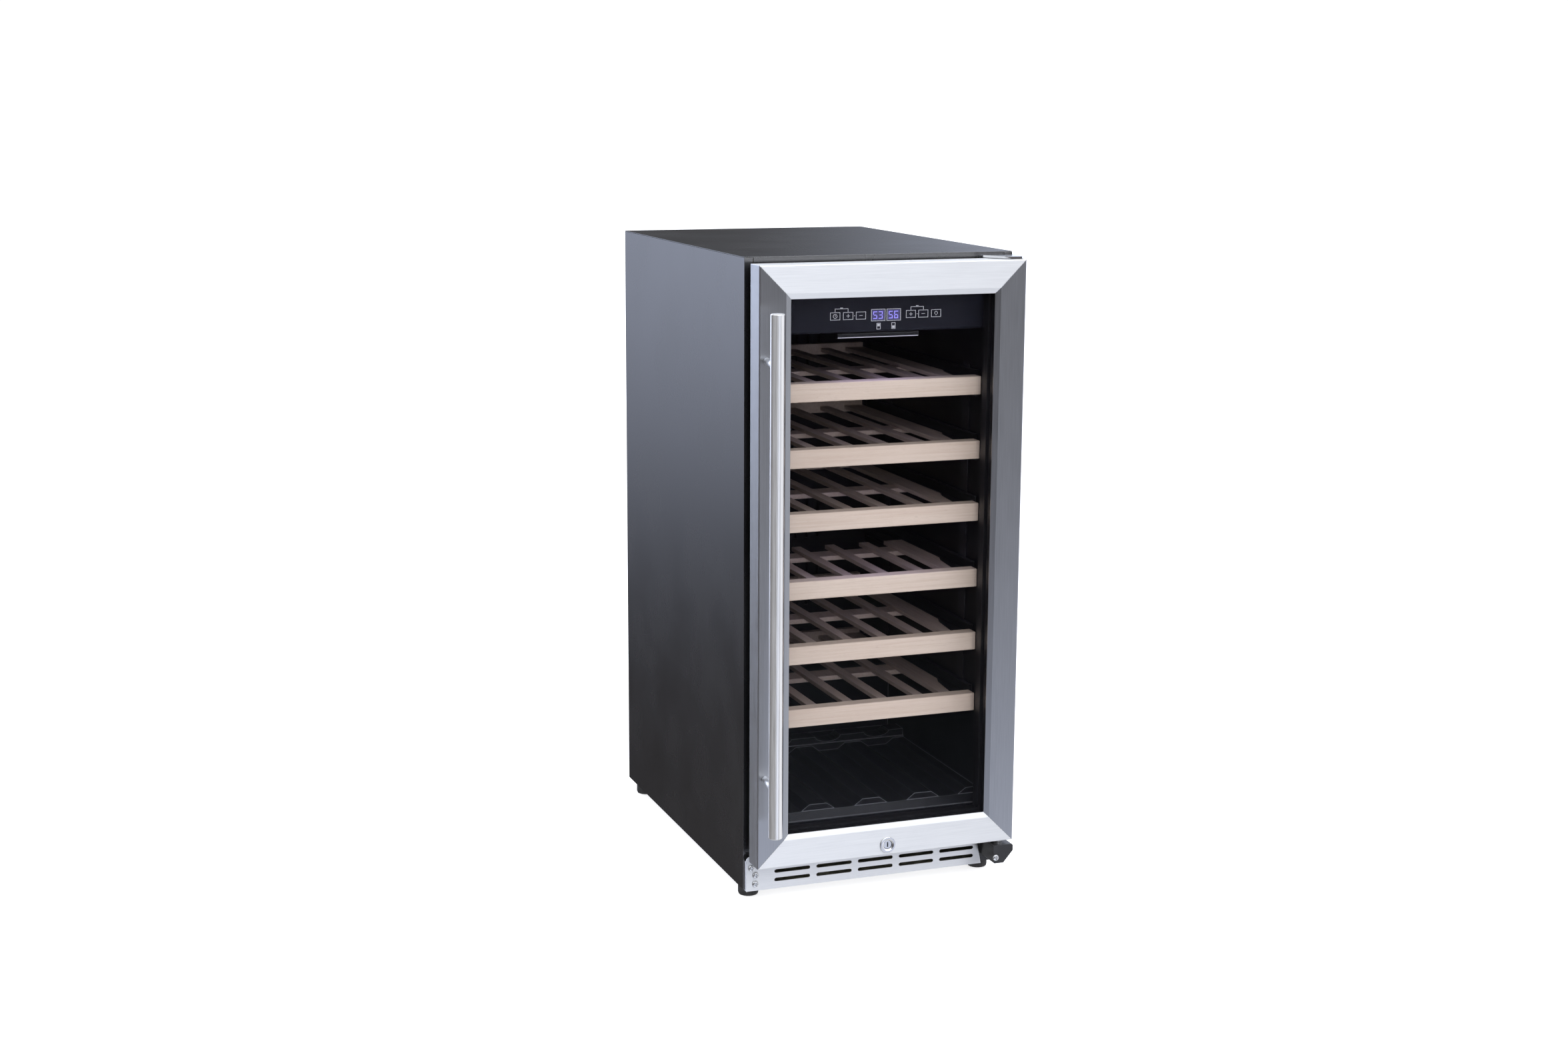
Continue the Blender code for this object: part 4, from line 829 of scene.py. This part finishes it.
# Frames, beads and rear details
def swept_frame(maker, half_width, low, high, section):
    """Sweeps a closed section of (distance inwards, y) round an upright rectangle with square corners."""
    rings = []
    for side, upper in ((-1, False), (1, False), (1, True), (-1, True)):
        ring = []
        for inwards, depth in section:
            z = high - inwards if upper else low + inwards
            ring.append(maker.verts.new((side * (half_width - inwards), depth, z)))
        rings.append(ring)
    for corner in range(4):
        one = rings[corner]
        two = rings[(corner + 1) % 4]
        for index in range(len(section)):
            after = (index + 1) % len(section)
            maker.faces.new((one[index], one[after], two[after], two[index]))


def bellows_gasket():
    """Door seal as it is extruded: a folded bellows in front and the magnet's pocket behind."""
    low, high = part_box("door_gasket")
    width = 0.0113
    fold = 0.0017
    depth = high.y - low.y
    pocket = low.y + depth * 0.55
    left = [(0.0, low.y), (0.0, low.y + 0.0012), (fold, low.y + 0.0026), (0.0, low.y + 0.0040),
            (fold, low.y + 0.0054), (0.0004, pocket), (0.0, pocket + 0.0008), (0.0, high.y - 0.0018),
            (0.0012, high.y - 0.0004), (0.0028, high.y)]
    right = [(width - inwards, y) for inwards, y in reversed(left)]
    maker = bmesh.new()
    swept_frame(maker, high.x, low.z, high.z, left + right)
    gasket = add_piece("bellows_gasket", maker, "rubber", "door", smooth=True)
    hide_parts("door_gasket")


def mouth_path(half, low, high, corner, steps=6):
    """Points (x, z) round the cavity's mouth, with round corners."""
    points = []
    corners = ((half, high, 0), (-half, high, 1), (-half, low, 2), (half, low, 3))
    for x, z, quarter in corners:
        middle_x = x - corner if x > 0 else x + corner
        middle_z = z - corner if z == high else z + corner
        for step in range(steps + 1):
            angle = pi / 2 * (quarter + step / steps)
            points.append((middle_x + corner * cos(angle), middle_z + corner * sin(angle)))
    return points


def mouth_bead():
    """Rounded bead where the liner turns out round the cavity's mouth, paler than the liner: a painted
    highlight along the edge.
    """
    maker = bmesh.new()
    rings = []
    path = mouth_path(MOUTH_HALF, MOUTH_LOW, MOUTH_HIGH, MOUTH_CORNER)
    count = len(path)
    for index, (x, z) in enumerate(path):
        before = path[index - 1]
        after = path[(index + 1) % count]
        along = Vector((after[0] - before[0], 0.0, after[1] - before[1])).normalized()
        out = Vector((along.z, 0.0, -along.x))
        ring = []
        for step in range(BEAD_SIDES):
            angle = 2 * pi * step / BEAD_SIDES
            place = Vector((x, FRONT + BEAD_SETBACK, z)) + out * BEAD_RADIUS * cos(angle)
            ring.append(maker.verts.new(place + Vector((0.0, BEAD_RADIUS * sin(angle), 0.0))))
        rings.append(ring)
    for index in range(count):
        one = rings[index]
        two = rings[(index + 1) % count]
        for step in range(BEAD_SIDES):
            after = (step + 1) % BEAD_SIDES
            maker.faces.new((one[step], one[after], two[after], two[step]))
    add_piece("mouth_bead", maker, "bead", "cabinet", smooth=True)


def in_field(x, z):
    """Whether a grid point lies on the flat floor of a pressed field."""
    if abs(x) > FIELD_HALF - FIELD_SLOPE + TOLERANCE:
        return False
    for bottom, top in FIELDS:
        if bottom + FIELD_SLOPE - TOLERANCE <= z <= top - FIELD_SLOPE + TOLERANCE:
            return True
    return False


def pressed_sheet():
    """Rear sheet with shallow fields pressed inwards; it stands for a flat CAD sheet."""
    low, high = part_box("rear_panel")
    x_lines = [low.x, -FIELD_HALF, -FIELD_HALF + FIELD_SLOPE, FIELD_HALF - FIELD_SLOPE, FIELD_HALF, high.x]
    z_lines = [low.z]
    for bottom, top in FIELDS:
        z_lines += [bottom, bottom + FIELD_SLOPE, top - FIELD_SLOPE, top]
    z_lines.append(high.z)
    maker = bmesh.new()
    grids = []
    for outside in (True, False):
        rows = []
        for z in z_lines:
            row = []
            for x in x_lines:
                y = low.y
                if outside:
                    y = high.y - FIELD_DEPTH if in_field(x, z) else high.y
                row.append(maker.verts.new((x, y, z)))
            rows.append(row)
        grids.append(rows)
    last_row = len(z_lines) - 1
    last_column = len(x_lines) - 1
    for rows in grids:
        for row in range(last_row):
            for column in range(last_column):
                maker.faces.new((rows[row][column], rows[row][column + 1], rows[row + 1][column + 1],
                                 rows[row + 1][column]))
    outer, inner = grids
    for row in range(last_row):
        for column in (0, last_column):
            maker.faces.new((outer[row][column], outer[row + 1][column], inner[row + 1][column],
                             inner[row][column]))
    for column in range(last_column):
        for row in (0, last_row):
            maker.faces.new((outer[row][column], outer[row][column + 1], inner[row][column + 1],
                             inner[row][column]))
    sheet = add_piece("rear_sheet", maker, "zinc", "cabinet")
    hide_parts("rear_panel")


def rear_screws(places, y):
    """Low screw heads with a round recess, standing in the pressed fields."""
    maker = bmesh.new()
    profile = ((0.0044, 0.0), (0.0043, 0.00035), (0.0036, 0.00065), (0.0021, 0.00070), (0.0019, 0.0001))
    for x, z in places:
        rings = []
        for radius, rise in profile:
            ring = []
            for step in range(SCREW_SIDES):
                angle = 2 * pi * step / SCREW_SIDES
                ring.append(maker.verts.new((x + radius * cos(angle), y + rise, z + radius * sin(angle))))
            rings.append(ring)
        for one, two in zip(rings, rings[1:]):
            for step in range(SCREW_SIDES):
                after = (step + 1) % SCREW_SIDES
                maker.faces.new((one[step], one[after], two[after], two[step]))
        maker.faces.new(rings[-1])
        maker.faces.new(rings[0][::-1])
    add_piece("rear_screws", maker, "bright_zinc", "cabinet", smooth=True)


touch_panel()
led_line()
bellows_gasket()
mouth_bead()
pressed_sheet()
screw_places = []
for bottom, top in FIELDS:
    for x in (-SCREW_X, 0.0, SCREW_X):
        screw_places += [(x, bottom + SCREW_INSET), (x, top - SCREW_INSET)]
rear_screws(screw_places, REAR_HIGH.y - FIELD_DEPTH)

add_camera()
add_studio_world()
add_floor()
fill = add_area_light("fill", (-0.9, -3.6, 1.5), (0, 0, 0.5), (1.8, 1.8), FILL_POWER, WARM)
fill.visible_glossy = False
add_area_light("cabin", (0, LIGHT_LOW.y + 0.004, LIGHT_LOW.z - 0.002), (0, 0.05, 0.3), (0.11, 0.005),
               CABIN_POWER, CABIN_VIOLET)
# The glow of a second cabin lamp, which isn't modelled
add_area_light("lower_zone", (0, FRONT + 0.010, LOWER_ZONE_Z), (0, FRONT + 0.10, 0.43), (0.16, 0.004),
               LOWER_ZONE_POWER, LOWER_VIOLET)
bpy.context.scene.view_settings.view_transform = "Standard"
